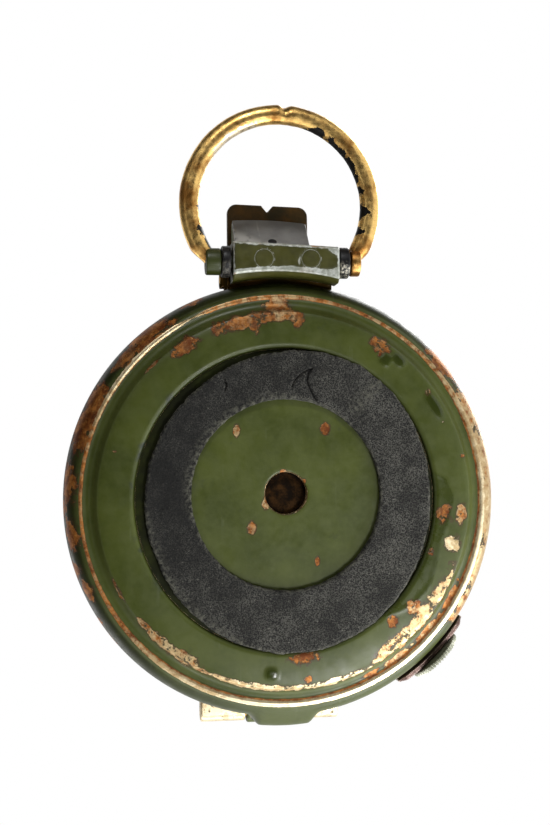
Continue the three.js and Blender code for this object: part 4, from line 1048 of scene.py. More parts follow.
def case_body():
    """The turned shell with its worn back. The flat for the prism bracket is cut into the wall."""
    corners, faces = turned(case_profile(), 540)
    placed, bare, polish, wet, blue, grime = [], [], [], [], [], []
    for x, y, z in corners:
        degrees, radius = math.degrees(math.atan2(y, x)) % 360, math.hypot(x, y)
        outside = radius > RIDGE_R - 0.3 and z < STEP_Z + 0.01
        spot, shine = worn_case(degrees, radius, z, outside)
        run = 0.0
        if z < RIDGE_Z + 0.1 and radius > RECESS_R - 0.15:
            thick, drop, run = paint_run(degrees, radius)
            z -= thick
            spot = min(spot, 0.2 - drop)
        if abs(x) < FLAT_HALF and y < FLAT_Y and FLAT_LOW < z < STEP_Z + 0.05:
            y = FLAT_Y
        if y > 25 and outside and radius > BEAD_R + 0.9:
            y += LUG_SWELL * eased(5.6, 3.7, abs(x)) * eased(2.4, 6.2, z)
        placed.append((x, y, z))
        bare.append(kept(spot))
        polish.append(shine)
        wet.append(run)
        blue.append(ink_on_case(degrees, radius))
        # Painted shade on the recess floor and on one side of the wall.
        grime.append(grime_on_case(degrees, radius, z))
    made = piece("case_body", (placed, faces), "case", CASE_PAINT, ["case_shell"], 50)
    mark(made, bare=bare, polish=polish, wet=wet, blue=blue, grime=grime)


def hinge_lug():
    """The lug on the wall that carries the lid hinge, with its knuckle."""
    outline = [(LUG_IN, LUG_LOW), (LUG_OUT - 0.2, LUG_LOW), (LUG_OUT, LUG_LOW + 0.3)]
    outline += [(LUG_OUT, HINGE_Z - 1.9)]
    outline += arc(HINGE_Y, HINGE_Z, HINGE_EYE, HINGE_EYE, -60, 180, 20)
    outline += [(LUG_IN, HINGE_Z - 1.2)]
    shape = drawn_out(outline, -LUG_HALF, LUG_HALF, along_x)
    made = facing_out(piece("hinge_lug", shape, "case", FITTING_PAINT, ()))
    soften(made, 0.3, 3, 40)


# Back: the cover with its vent, and the pad

# X and Y about the case's axis, half width, half height, polish
COVER_CHIPS = [
    (-5.2, 4.2, 0.7, 0.95, 0.15), (-3.1, 0.65, 0.5, 0.95, 0.3), (2.6, -2.6, 0.5, 0.5, 0.3),
    (-0.4, -4.2, 0.5, 0.35, 0.2), (-7.4, -10.3, 0.5, 0.95, 0.35), (6.1, -10.5, 0.75, 0.95, 0.0),
    (4.7, 9.4, 0.4, 0.75, 0.0),
]


def worn_cover(x, y, radius):
    """How bare the cover is at a spot, and how polished: its chips, and the vent's rim."""
    bare, polish = 0.3 - abs(radius - VENT_R) / 0.35, 0.5
    for cx, cy, half_x, half_y, shine in COVER_CHIPS:
        inside = 1 - math.hypot((x - cx) / half_x, (y - cy) / half_y)
        if inside >= bare:
            bare, polish = inside, shine
    return (bare, polish) if bare > -1 else (-1.0, 0.0)


def back_disc():
    """The cover: a polar grid from the vent's rim out to the edge, bare of any marking."""
    steps, across = 240, 46
    rows = [(0.0, COVER_BACK), (0.0, 1.5), (0.004, 1.24), (0.012, 1.17)]
    rows += [(i / across, RECESS_Z) for i in range(1, across + 1)] + [(1.0, COVER_BACK)]
    corners, bare, polish = [], [], []
    for share, z in rows:
        radius = VENT_R + (COVER_R - VENT_R) * share
        for i in range(steps):
            x, y = polar(radius, 360 * i / steps)
            y += VENT_Y * (1 - share)
            swell = ripple(x, y, 0.03, 0.16, 3.0) + ripple(x, y, 0.012, 0.5, 9.0)
            corners.append((x, y, z + (swell if 0.01 < share < 1 else 0)))
            spot, shine = worn_cover(x, y, radius)
            bare.append(kept(spot))
            polish.append(shine)
    shape = corners, ring_faces(len(rows), steps)
    made = facing_out(piece("back_disc", shape, "case", CASE_PAINT, ["back_cover"], 50))
    mark(made, bare=bare, polish=polish)


# Degrees against how far the pad's cut edge lies outside its mean radius
PAD_EDGE = [
    (0, -0.3), (30, 0.0), (55, 0.55), (75, 0.75), (95, 0.65), (120, 0.0), (142, -0.6), (155, -1.0),
    (180, -1.1), (210, -1.1), (238, -0.95), (262, -0.3), (285, 0.5), (300, 0.75), (318, 0.5),
    (340, 0.0), (360, -0.3),
]
# Degrees against how dusty the pad is, which is also painted light: paler towards the key lamp, darkest
# away from it
PAD_DUST = [
    (0, 1.0), (60, 0.9), (100, 0.85), (140, 0.6), (180, 0.2), (225, 0.4), (270, 0.75), (320, 1.0),
    (360, 1.0),
]
# Splits in the pad: points in X and Y about the case's axis, and the half width of each
PAD_SPLITS = [
    ([(4.0, -19.6), (2.9, -19.2), (1.9, -18.5), (1.2, -17.6), (0.9, -16.8)], 0.14),
    ([(4.0, -19.6), (3.3, -18.7), (3.2, -17.8), (3.5, -16.8), (4.0, -15.8), (4.6, -14.9)], 0.17),
    ([(-9.4, -18.2), (-9.0, -17.2), (-9.2, -16.3)], 0.13),
]
PAD_CREASE = [(14.2, -17.4), (12.6, -15.6), (10.4, -13.4)]


def away_from(path, x, y):
    """The distance of a point from a line of straight stretches."""
    nearest = math.inf
    for (x0, y0), (x1, y1) in zip(path, path[1:]):
        along, up = x1 - x0, y1 - y0
        t = max(0, min(1, ((x - x0) * along + (y - y0) * up) / (along ** 2 + up ** 2)))
        nearest = min(nearest, math.hypot(x - x0 - t * along, y - y0 - t * up))
    return nearest


def pad_edges(degrees):
    """Radii of the pad's frayed inner and outer edge. The inner one is about the window's own centre."""
    cx, cy = polar(1, degrees)
    inner = PAD_IN + ripple(cx, cy, 0.10, 16, 12.0) + ripple(cx, cy, 0.07, 80, 4.0)
    outer = PAD_R + between(PAD_EDGE, degrees)
    for depth, scale, seed in ((0.16, 9, 2.0), (0.12, 42, 5.0), (0.07, 150, 8.0)):
        outer += ripple(cx, cy, depth, scale, seed)
    return inner, outer


def pad_face(x, y):
    """How deep the pad's face lies at a spot, how far it is split there, and how creased."""
    sag = 0.05 + ripple(x, y, 0.045, 0.35, 1.0) + ripple(x, y, 0.03, 1.3, 6.0)
    gap = max(0.0, max(1 - away_from(path, x, y) / half for path, half in PAD_SPLITS))
    crease = bump(away_from(PAD_CREASE, x, y), 0, 0.9)
    return sag + 0.5 * gap - 0.05 * crease, gap, crease


def fray_reach(degrees, share):
    """How far in from its edges the pad is frayed."""
    upper_left = eased(75, 30, abs(turn_between(degrees, 222)))
    lower_left = eased(45, 20, abs(turn_between(degrees, 140)))
    return 0.45 + (1.3 * upper_left if share < 0.5 else lower_left)


def back_pad():
    """The pad ring: cut by hand, rounded and frayed at its edges, split at the top."""
    steps, across = 620, 36
    edge_rows = [(0.0, PAD_TOP), (0.0, 0.45), (0.006, 0.16), (0.02, 0.05)]
    rows = edge_rows + [(0.02 + 0.96 * i / across, 0.0) for i in range(1, across)]
    rows += [(1 - share, z) for share, z in edge_rows[::-1]]
    cuts = [(360 * i / steps, *pad_edges(360 * i / steps)) for i in range(steps)]
    corners, fray, split, dust = [], [], [], []
    for share, z in rows:
        for degrees, inner, outer in cuts:
            x0, y0 = polar(inner, degrees)
            y0 += PAD_WINDOW_Y
            x1, y1 = polar(outer, degrees)
            x, y = x0 + (x1 - x0) * share, y0 + (y1 - y0) * share
            sunk, gap, crease = pad_face(x, y) if z < 0.5 else (0.0, 0.0, 0.0)
            corners.append((x, y, min(max(z + sunk, 0.0), PAD_TOP)))
            edge = min(share, 1 - share) * (outer - inner)
            # Along the fold the pale mark is a painted highlight.
            fray.append(max(0.0, 1 - edge / fray_reach(degrees, share), 0.8 * crease))
            split.append(gap)
            # Painted light: paler on the side towards the key lamp.
            dust.append(between(PAD_DUST, degrees))
    shape = corners, ring_faces(len(rows), steps)
    made = facing_out(piece("pad", shape, "case", PAD_RUBBER, ["back_pad"], 60))
    mark(made, fray=fray, split=split, dust=dust)


# Thumb ring, its bosses and washers, and the block

def ring_paint(degrees, outward, down, place):
    """How much black paint is left on the ring at a spot, and how silvery it is. The silvery stretch on the
    inner side near -36 degrees is also a painted highlight.
    """
    inner = max(0.0, -0.05 - outward)
    right = eased(-8, 22, degrees) * eased(140, 112, degrees)
    left_foot, left = bump(degrees, -118, 24), bump(degrees, -78, 22)
    blot = 0.7 * noise.noise((place.x * 0.5, place.y * 0.5, 0.5 * down)) + 0.3 * noise.noise(place * 1.4)
    black = 0.24 + inner * (right + 1.3 * left_foot + 0.5 * left)
    black += 1.2 * blot * min(1.0, 0.2 + right + left_foot + left)
    return black, 0.6 + inner * bump(degrees, -36, 24)


def thumb_ring():
    """Bent wire with a nick at its crown. The remains of black paint lie on its inner side."""
    foot_x = (EYE_IN + EYE_OUT) / 2
    half = math.pi - math.asin(foot_x / RING_MEAN)
    centre_y = RING_Y - math.sqrt(RING_MEAN ** 2 - foot_x ** 2)
    along, sides = 300, 40
    corners, blacked, silvered = [], [], []
    for i in range(along + 1):
        share = 2 * i / along - 1
        degrees = math.degrees(half * share)
        out = Vector((math.sin(half * share), -math.cos(half * share), 0))
        uneven = ripple(out.x, out.y, 0.05, 4, 1.0) + ripple(out.x, out.y, 0.02, 14, 2.0)
        nick = max(0.0, 1 - abs(degrees - 3.0) / 4.0) ** 1.3
        foot = eased(0.9, 0.99, abs(share))
        aside = (-0.2 if share > 0 else 0.42) * foot - 0.25
        for k in range(sides):
            outward, down = polar(1, 360 * k / sides)
            wire = RING_WIRE + uneven + 0.015 * noise.noise((out.x * 22 + outward, out.y * 22, down))
            wire -= 0.75 * nick * max(0.0, 0.35 + 0.65 * outward) * (0.6 + 0.4 * abs(down))
            wire *= 1 - 0.27 * foot
            place = out * (RING_MEAN + wire * outward)
            corners.append((place.x + aside, centre_y + place.y, RING_Z + wire * down))
            black, silver = ring_paint(degrees, outward, down, place)
            blacked.append(black)
            silvered.append(silver)
    shape = corners, tube_faces(along, sides)
    made = facing_out(piece("ring_wire", shape, "ring", RING_BRASS, ["thumb_ring"], 60))
    mark(made, blacked=blacked, silvered=silvered)


def on_ring_axis(side, corners):
    return [(side * z, RING_Y + x, RING_Z + y) for x, y, z in corners]


def collar(name, side, radius, start, end, body, metal, stands_for, slot):
    """A short turned collar on the ring's axis, with rounded edges."""
    profile = [(PIVOT_BORE, start, 0), (radius, start, 0.3), (radius, end, 0.3), (PIVOT_BORE, end, 0)]
    corners, faces = turned(rounded(profile), 72)
    return facing_out(piece(name, (on_ring_axis(side, corners), faces), body, metal, stands_for))


# Side, where the boss and the washer start and end, the boss's finish, how rubbed the washer is
RING_JOINTS = [
    (-1, "left", (9.45, 11.75), (8.0, 9.35), BOSS_PAINT, "olive_paint", 0.3),
    (1, "right", (10.45, 11.95), (8.6, 10.2), COPPER_BOSS, "brass", 0.9),
]


def ring_joint():
    """Bosses at the ends of the ring, pins through them, and washers against the block."""
    axis_y = (CASE_Y + RING_Y) * MM
    for side, word, boss, washer, metal, slot, rubbed in RING_JOINTS:
        collar("ring_boss_" + word, side, BOSS_R, *boss, "ring", metal, (), slot)
        stands_for = ["ring_washer_" + word]
        made = collar("washer_" + word, side, WASHER_R, *washer, "case", WASHER_STEEL, stands_for, "steel")
        mark(made, rubbed=[rubbed * eased(-0.2, 0.8, (v.co.y - axis_y) / MM) for v in made.data.vertices])
        profile = [(0, PIVOT_END, 0), (PIVOT_R, PIVOT_END, 0.1)]
        profile += [(PIVOT_R, boss[1] + 0.05, 0.15), (0, boss[1] + 0.12, 0)]
        corners, faces = turned(rounded(profile, 3, False), 48)
        shape = on_ring_axis(side, corners), faces
        facing_out(piece("pivot_" + word, shape, "case", metal, ["ring_pivot_" + word]))


def block_section(x):
    """The block's outer and lip line at X, and its section there."""
    outer = BLOCK_OUT + 0.043 * x
    lip = BLOCK_LIP + 0.0116 * x * x + 0.027 * x
    inner = -math.sqrt(BLOCK_IN ** 2 - x * x)
    start = outer + BLOCK_ROUND
    section = [(outer, BLOCK_TOP), (outer, 3.4), (outer, 2.0)]
    section += arc(start, BLOCK_LOW + BLOCK_ROUND, BLOCK_ROUND, BLOCK_ROUND, 180, 270, 6)
    section += [(start + (lip - start) * k / 18, BLOCK_LOW) for k in range(1, 18)]
    section += [(lip + (inner - lip) * k / 8, BLOCK_LOW + 1.25 * (k / 8) ** 1.15) for k in range(0, 9)]
    return outer, lip, section + [(inner, BLOCK_TOP)]


def worn_block(x, y, z, outer, lip):
    """How bare the block is at a spot, and how warm: its edges, a corner, and round the rivets."""
    from_left, from_right = x - BLOCK_LEFT, BLOCK_RIGHT - x
    from_out, from_lip = y - outer, abs(y - lip)
    warm = 1.0 if (from_out < 0.35 and z > BLOCK_LOW + 0.01) or from_left < 0.3 else 0.1
    if z > BLOCK_LOW + 0.3:
        return -0.35 - 0.3 * (x < 5) - 0.5 * (z > 1.2), warm
    bare = max(
        0.75 - from_out / 0.62, 0.5 - from_left / 0.45, 0.6 - from_right / 0.6,
        0.75 - from_lip / (0.5 + 0.035 * (x + 8)),
        1.25 - from_right / 2.1 - from_out / 1.6, 1.2 - from_right / 3.3 - from_lip / 1.25,
        0.45 - math.hypot((x - 2.25) / 0.4, (y + 35.7) / 1.3),
    )
    for centre in RIVETS:
        bare = max(bare, 0.12 - abs(math.hypot(x - centre, y - RIVET_Y) - 1.62) / 0.22)
    return bare, warm


def ring_block():
    """The block that the ring turns on: hollowed round the case, its edges worn to pale metal."""
    across = 120
    corners, bare, polish = [], [], []
    for i in range(across + 1):
        x = BLOCK_LEFT + (BLOCK_RIGHT - BLOCK_LEFT) * i / across
        outer, lip, section = block_section(x)
        end = min(1.0, min(x - BLOCK_LEFT, BLOCK_RIGHT - x) / 0.35)
        drop = 0.3 * (1 - math.sqrt(max(0.0, 1 - (1 - end) ** 2)))
        for y, z in section:
            corners.append((x, y, z + (drop if z < 2 else 0)))
            spot, warm = worn_block(x, y, z, outer, lip)
            bare.append(kept(spot))
            polish.append(warm)
    shape = corners, tube_faces(across, len(section))
    made = facing_out(piece("ring_carrier", shape, "case", BLOCK_PAINT, ["ring_block"], 42))
    mark(made, bare=bare, polish=polish)


def block_rivets():
    """The painted-over screw ends in the block's face, each with the crack of paint round it."""
    head = [(0, 0.41, 0), (1.24, 0.41, 0.08), (1.34, 0.52, 0.04), (1.44, 0.42, 0.06), (1.5, 0.5, 0.0)]
    corners, faces = turned(rounded(head + [(1.5, 5.0, 0), (0, 5.0, 0)], 3, False), 64)
    bare = []
    for x, y, z in corners:
        radius = math.hypot(x, y)
        bare.append(kept(0.25 - abs(radius - 1.44) / 0.14 if radius > 1.2 else -0.7))
    for centre, word in zip(RIVETS, ("left", "right")):
        shape = [(centre + x, RIVET_Y + y, z) for x, y, z in corners], faces
        name, stands_for = "block_rivet_" + word, ["block_screw_" + word]
        made = facing_out(piece(name, shape, "case", BLOCK_PAINT, stands_for, 30))
        mark(made, bare=bare, polish=[0.1] * len(bare))


# Bezel and its clamp

def ridges(depth, per_tooth, inside):
    """How far rounded grooves cut into a turned face beyond a radius."""
    def cut(i, r):
        return depth * (math.cos(2 * math.pi * i / per_tooth) - 1) if r >= inside else 0.0
    return cut


def disc(low, high, radius, low_round, high_round):
    """The half section of a round pane with rounded edges."""
    corners = [(0, low, 0), (radius, low, low_round), (radius, high, high_round), (0, high, 0)]
    return rounded(corners, 3, False)


def pane(name, profile, body, stands_for):
    made = piece(name, turned(profile), body, CLEAR_GLASS, stands_for, 40)
    made.visible_shadow = made.visible_diffuse = False


def bezel():
    """The turning bezel with its coin edge, its glass and the scale ring."""
    per_tooth = 6
    profile = rounded([
        (BEZEL_BORE, BEZEL_LOW, 0.08), (BEZEL_R - 0.45, BEZEL_LOW, 0.1), (BEZEL_R, BEZEL_LOW + 0.45, 0.15),
        (BEZEL_R, BEZEL_TOP - 0.55, 0.15), (BEZEL_R - 0.55, BEZEL_TOP, 0.12), (REBATE_R, BEZEL_TOP, 0.08),
        (REBATE_R, LEDGE_TOP, 0), (LEDGE_R, LEDGE_TOP, 0), (LEDGE_R, LEDGE_LOW, 0),
        (BEZEL_BORE, LEDGE_LOW, 0),
    ])
    shape = turned(profile, COIN_TEETH * per_tooth, ridges(COIN_DEPTH, per_tooth, BEZEL_R - 0.2))
    piece("bezel_rim", shape, "bezel", BEZEL_BRASS, ["bezel_ring"], 40)
    pane("bezel_pane", disc(14.86, 15.54, REBATE_R - 0.15, 0.1, 0.12), "bezel", ["bezel_glass"])
    outer, low = REBATE_R - 0.1, 15.6
    ring = [(LEDGE_R, low, 0.05), (outer, low, 0.05), (outer, BEZEL_TOP, 0.1), (LEDGE_R, BEZEL_TOP, 0.15)]
    shape = turned(rounded(ring), 240)
    piece("scale_ring", shape, "bezel", SCALE_PAINT, ["bezel_glass_ring"], 40)


def on_clamp(corners):
    """Turns corners from the clamp's own frame, whose X points out of the case, to the clamp's place."""
    c, s = polar(1, CLAMP_AZIMUTH)
    return [(x * c - y * s, x * s + y * c, z) for x, y, z in corners]


def clamp_plate():
    """The curved plate of the bezel clamp, with its lip over the bezel."""
    section = [
        (33.85, 6.2), (33.95, 6.1), (34.42, 6.1), (34.58, 6.28), (34.58, 15.3), (34.45, 15.62),
        (34.2, 15.65), (33.05, 15.65), (33.0, 15.5), (33.0, 11.95), (33.1, 11.82), (33.78, 11.8),
    ]
    steps = 80
    corners = []
    for i in range(steps + 1):
        share = i / steps - 0.5
        thin = eased(0.40, 0.5, abs(share))
        for r, z in section:
            x, y = polar(r - 0.34 * thin * (r > 34.4), math.degrees(CLAMP_LENGTH / CLAMP_R) * share)
            corners.append((x, y, z + 0.5 * thin * (z < 7)))
    shape = on_clamp(corners), tube_faces(steps, len(section))
    made = facing_out(piece("clamp_shoe", shape, "clamp", CLAMP_METAL, ["clamp_plate"], 40))
    soften(made, 0.12, 2, 50)


def clamp_knob():
    """The knob of the clamp: straight ridges, a domed face with a dished middle, and its stud."""
    per_tooth = 10
    profile = rounded([
        (0, 31.0, 0), (STUD_R, 31.0, 0.1), (STUD_R, KNOB_LOW, 0), (KNOB_R - 0.1, KNOB_LOW, 0.05),
        (KNOB_R, KNOB_LOW + 0.08, 0.04), (KNOB_R, 35.25, 0.04), (KNOB_R - 0.35, 35.5, 0.06),
        (2.4, 35.6, 0.2), (2.1, 35.5, 0.1), (0, 35.45, 0),
    ], 3, False)
    corners, faces = turned(profile, KNOB_TEETH * per_tooth, ridges(KNOB_DEPTH, per_tooth, KNOB_R - 0.4))
    placed = []
    for x, y, z in corners:
        notch = 0.5 - 0.5 * math.cos(KNOB_TEETH * math.atan2(y, x))
        cut = 0.32 * notch * eased(KNOB_LOW + 0.08, 35.2, z) * eased(3.6, 4.2, math.hypot(x, y))
        placed.append((z - cut, y, STUD_Z - x))
    shape = on_clamp(placed), faces
    facing_out(piece("clamp_thumbscrew", shape, "knob", KNOB_METAL, ["clamp_knob"], 40))


# Lid, its glass and its hinge

# Degrees, height on the lid's edge, half length in degrees, half height, polish
LID_CHIPS = [
    (12, 23.6, 9, 0.9, 0.5), (40, 24.0, 6, 0.6, 0.6), (66, 23.3, 5, 0.9, 0.4), (118, 23.8, 10, 0.7, 0.5),
    (150, 23.4, 5, 1.1, 0.3), (185, 23.8, 8, 0.8, 0.5), (214, 23.9, 6, 0.6, 0.5), (246, 23.4, 5, 1.0, 0.3),
    (292, 23.7, 8, 0.8, 0.5), (326, 23.9, 6, 0.7, 0.5), (350, 23.4, 4, 1.0, 0.3), (30, 16.7, 8, 0.5, 0.4),
    (100, 16.7, 6, 0.4, 0.4), (165, 16.7, 9, 0.5, 0.4), (230, 16.7, 7, 0.4, 0.4), (310, 16.7, 8, 0.5, 0.4),
    (75, 19.5, 2, 0.8, 0.1), (200, 20.4, 2.5, 0.9, 0.1), (335, 18.6, 2, 0.7, 0.1),
    (142, 20.1, 1.6, 0.6, 0.1),
]


def lid_profile():
    """The lid's section, from its lower rim round by the crown to the window and the glass's collar."""
    wall_low, wall_high, round_r = LID_LOW + 0.3, LID_TOP - LID_ROUND, LID_R - LID_ROUND
    top_end = WINDOW_R + 0.8
    rim = [
        (LID_BORE, LID_LOW + 0.1), (LID_BORE + 0.1, LID_LOW), (LID_R - 0.25, LID_LOW),
        (LID_R - 0.05, LID_LOW + 0.08), (LID_R, wall_low),
    ]
    wall = [(LID_R, wall_low + (wall_high - wall_low) * i / 12) for i in range(1, 13)]
    crown = arc(round_r, wall_high, LID_ROUND, LID_ROUND, 0, 90, 12)[1:]
    top = [(round_r - (round_r - top_end) * i / 16, LID_TOP) for i in range(1, 17)]
    bevel = [(0.6, 0.04), (0.45, 0.12), (0.1, 0.46), (0.0, 0.6)]
    window = [(WINDOW_R + out, LID_TOP - down) for out, down in bevel] + [(WINDOW_R, LID_CEILING)]
    glass_collar = [
        (LID_COLLAR_IN, LID_CEILING), (LID_COLLAR_IN, LID_COLLAR_LOW), (LID_COLLAR_OUT, LID_COLLAR_LOW),
        (LID_COLLAR_OUT, LID_CEILING), (LID_BORE, LID_CEILING),
    ]
    return rim + wall + crown + top + window + glass_collar


def worn_lid(x, y, z):
    """How bare the lid is at a spot, and how polished: chips on its edge, its crown, the window's rim."""
    radius = math.hypot(x, y)
    bare, polish = -1.0, 0.0
    if radius > 30:
        bare, polish = chip_at(LID_CHIPS, math.degrees(math.atan2(y, x)) % 360, z)
    from_crown = abs(z - (LID_TOP - 0.45)) + abs(radius - 32.0)
    crown = 0.32 + ripple(x, y, 0.25, 0.12, 4.0) - from_crown / 0.7
    from_rim = abs(radius - 20.1) / 0.35 + abs(z - LID_TOP) * 2
    rim = 0.2 + ripple(x, y, 0.3, 0.2, 8.0) - from_rim
    if max(crown, rim) > bare:
        bare, polish = max(crown, rim), 0.6
    return kept(bare), polish


def lid_cap():
    """The lid's turned cap: rounded outer edge, bevelled window, collar for the glass."""
    corners, faces = turned(lid_profile(), 360)
    made = piece("lid_cap", (corners, faces), "lid", LID_PAINT, ["lid_frame"], 40)
    bare, polish = zip(*(worn_lid(*corner) for corner in corners))
    mark(made, bare=bare, polish=polish)


def lid_tongue():
    """The sighting tongue that reaches out over the prism, with its notch. It stands a little askew."""
    half, corner, end = TONGUE_HALF, TONGUE_CORNER, TONGUE_END
    outline = [(-half, TONGUE_ROOT)] + arc(corner - half, end + corner, corner, corner, 180, 270, 6)
    outline += [(-0.95, end), (-0.45, end + 0.6), (0.0, end + 1.15), (0.45, end + 0.6), (0.95, end)]
    outline += arc(half - corner, end + corner, corner, corner, 270, 360, 6) + [(half, TONGUE_ROOT)]
    outline = [(x * (1.03 if x > 0 else 1.0), y + 0.032 * x) for x, y in outline]
    shape = drawn_out(outline, TONGUE_LOW, TONGUE_TOP, along_z)
    made = facing_out(piece("lid_tongue", shape, "lid", TONGUE_PAINT, ()))
    soften(made, 0.22, 3, 50)


def lid_knuckles():
    """The lid's two knuckles, rubbed bare on their outer side. The left one is the longer."""
    outline = [(31.2, LID_LOW + 0.02), (HINGE_Y, LID_LOW)]
    outline += arc(HINGE_Y, HINGE_Z, 1.45, HINGE_EYE, -90, 90, 20)[1:]
    outline += [(31.2, HINGE_Z + HINGE_EYE)]
    for word, start, end in (("left", -11.7, -4.6), ("right", 4.6, 10.5)):
        shape = drawn_out(outline, start, end, along_x)
        made = facing_out(piece("lid_knuckle_" + word, shape, "lid", KNUCKLE_PAINT, ()))
        soften(made, 0.25, 3, 40)
        worn = [0.9 + 0.4 * eased(HINGE_Y - 1.5, HINGE_Y, v.co.y / MM - CASE_Y) for v in made.data.vertices]
        mark(made, bare=worn, polish=[0.9] * len(worn))


def hinge_pin():
    """The pin of the lid hinge, with domed ends."""
    half = 10.5
    profile = [(0, -half - 0.12, 0), (HINGE_PIN, -half, 0.25), (HINGE_PIN, half, 0.25), (0, half + 0.12, 0)]
    corners, faces = turned(rounded(profile, 3, False), 48)
    shape = [(z, HINGE_Y + x, HINGE_Z + y) for x, y, z in corners], faces
    facing_out(piece("hinge_pin", shape, "case", BOSS_BRASS, ["lid_hinge_pin"]))


def lid_window():
    """The lid's glass with its sighting line, and the ring that holds it."""
    outer, low, high = LID_COLLAR_IN - 0.1, LID_COLLAR_LOW, 21.05
    pane("lid_pane", disc(high + 0.05, 22.6, outer, 0.1, 0.15), "lid", ["lid_glass"])
    ring = rounded([(WINDOW_R, low, 0.2), (outer, low, 0.1), (outer, high, 0), (WINDOW_R, high, 0.1)])
    piece("lid_glass_keeper", turned(ring), "lid", BEZEL_BRASS, ["lid_glass_ring"], 40)
    line = [(-0.09, -19.4), (0.09, -19.4), (0.09, 19.4), (-0.09, 19.4)]
    shape = drawn_out(line, high, high + 0.04, along_z)
    facing_out(piece("sighting_line", shape, "lid", DIAL_INK, ()))


# Dial and what is under the glass

def dial_number(degrees):
    """One of the dial's numbers, read from the rim."""
    words = bpy.data.curves.new("number", "FONT")
    words.body = str(degrees)
    words.size = NUMBER_SIZE * MM
    words.align_x, words.align_y = "CENTER", "CENTER"
    words.extrude = 0.01 * MM
    shape = bpy.data.objects.new("number", words)
    link_to_scene(shape)
    bpy.context.view_layer.update()
    mesh = bpy.data.meshes.new_from_object(shape.evaluated_get(bpy.context.evaluated_depsgraph_get()))
    bpy.data.objects.remove(shape)
    x, y = polar(NUMBER_R, -90 - degrees)
    place = Matrix.Translation((x * MM, (y + CASE_Y) * MM, (DIAL_TOP + 0.02) * MM))
    mesh.transform(place @ Matrix.Rotation(math.radians(180 - degrees), 4, "Z"))
    mesh.materials.clear()
    mesh.materials.append(DIAL_INK)
    made = bpy.data.objects.new("dial_number_%03d" % degrees, mesh)
    link_to_scene(made)
    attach(made, "dial")


def dial():
    """The dial card with its numbers every thirty degrees, and a pointer that shows north."""
    hole = 1.6
    card = [(hole, DIAL_LOW, 0.05), (DIAL_R, DIAL_LOW, 0.1)]
    card += [(DIAL_R, DIAL_TOP, 0.1), (hole, DIAL_TOP, 0.05)]
    piece("dial_plate", turned(rounded(card), 240), "dial", DIAL_FACE, ["dial_card"], 40)
    for degrees in range(0, 360, 30):
        dial_number(degrees)
    arrow = [(0, -18.0), (1.9, -12.8), (0.5, -13.4), (0.5, -5.0)]
    arrow += [(-x, y) for x, y in arrow[:0:-1]]
    shape = drawn_out(arrow, DIAL_TOP, DIAL_TOP + 0.03, along_z)
    facing_out(piece("north_pointer", shape, "dial", DIAL_INK, ()))


def under_glass():
    """The glass over the dial, the ring that keeps it in its seat, and the seal below it."""
    outer = GLASS_SEAT_R - 0.1
    pane("dial_pane", disc(10.9, 12.4, outer, 0.1, 0.12), "case", ["dial_glass"])
    low, high, inner = 12.45, 13.75, BOWL_R + 0.1
    keeper = rounded([(inner, low, 0.1), (outer, low, 0.05), (outer, high, 0.1), (inner, high, 0.2)])
    piece("glass_keeper", turned(keeper), "case", BEZEL_BRASS, ["glass_retainer"], 40)
    low, high = GLASS_SEAT_Z + 0.05, 10.85
    seal = rounded([(r, z, 0.2) for r, z in ((BOWL_R, low), (outer, low), (outer, high), (BOWL_R, high))])
    piece("seal_ring", turned(seal, 160), "case", SEAL_RUBBER, ["glass_seal"], 60)


def vent_floor():
    """The waved diaphragm behind the vent, painted almost black as the shade in the hole."""
    low, thick, wave, waved_r, outer, steps = 2.3, 0.35, 0.3, 17.2, 20.6, 40
    face = []
    for i in range(steps + 1):
        face.append((waved_r * i / steps, low + wave * (1 - math.cos(4 * math.pi * i / steps))))
    face.append((outer, low))
    shape = face + [(r, z + thick) for r, z in face[::-1]]
    piece("vent_diaphragm", turned(shape, 96), "case", SOOTY_BRASS, ["diaphragm"], 50)


# Prism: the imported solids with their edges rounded, under a formed cover

HOOD_FOOT = Vector((0, -35.58, 8.02))
HOOD_RUN = Vector((0, -9.4, 9.4))
HOOD_OUT = Vector((0, -1, -1)).normalized()
HOOD_HALF, HOOD_THICK, HOOD_ARCH = 6, 0.68, 0.12


def sheet_faces(wide, tall):
    """Faces of two grids of corners that lie over each other, joined round the rim."""
    row, sheet = wide + 1, (wide + 1) * (tall + 1)
    faces = []
    for j in range(tall):
        for a in range(j * row, j * row + wide):
            front = [a, a + 1, a + row + 1, a + row]
            faces.append(front)
            faces.append([sheet + front[k] for k in (0, 3, 2, 1)])
    rim = list(range(row)) + [j * row + wide for j in range(1, tall + 1)]
    rim += [tall * row + i for i in range(wide - 1, -1, -1)] + [j * row for j in range(tall - 1, 0, -1)]
    for a, b in zip(rim, rim[1:] + rim[:1]):
        faces.append([a, sheet + a, sheet + b, b])
    return faces


def prism_cover():
    """The grey cover on the prism's sloping face, slightly arched."""
    wide, tall = 40, 44
    corners, rubbed = [], []
    for layer, bulge in ((0.0, HOOD_ARCH), (HOOD_THICK, 0.0)):
        for j in range(tall + 1):
            t = j / tall
            for i in range(wide + 1):
                x = HOOD_HALF * (2 * i / wide - 1)
                arch = 1 - (x / HOOD_HALF) ** 2
                place = HOOD_FOOT + Vector((x, 0, 0)) + HOOD_RUN * t + HOOD_OUT * (bulge * arch - layer)
                place += HOOD_RUN.normalized() * ((0.3 * arch - 0.3 - 0.05 * x) * t)
                corners.append(tuple(place))
                rubbed.append(eased(0.1, -0.1, t - 0.78 + (x + 5.6) * 0.06) * eased(0.6, 0.2, x))
    shape = corners, sheet_faces(wide, tall)
    made = facing_out(piece("prism_hood", shape, "prism", COVER_GREY, ["prism_cover"], 40))
    soften(made, 0.12, 2, 50)
    mark(made, rubbed=rubbed)


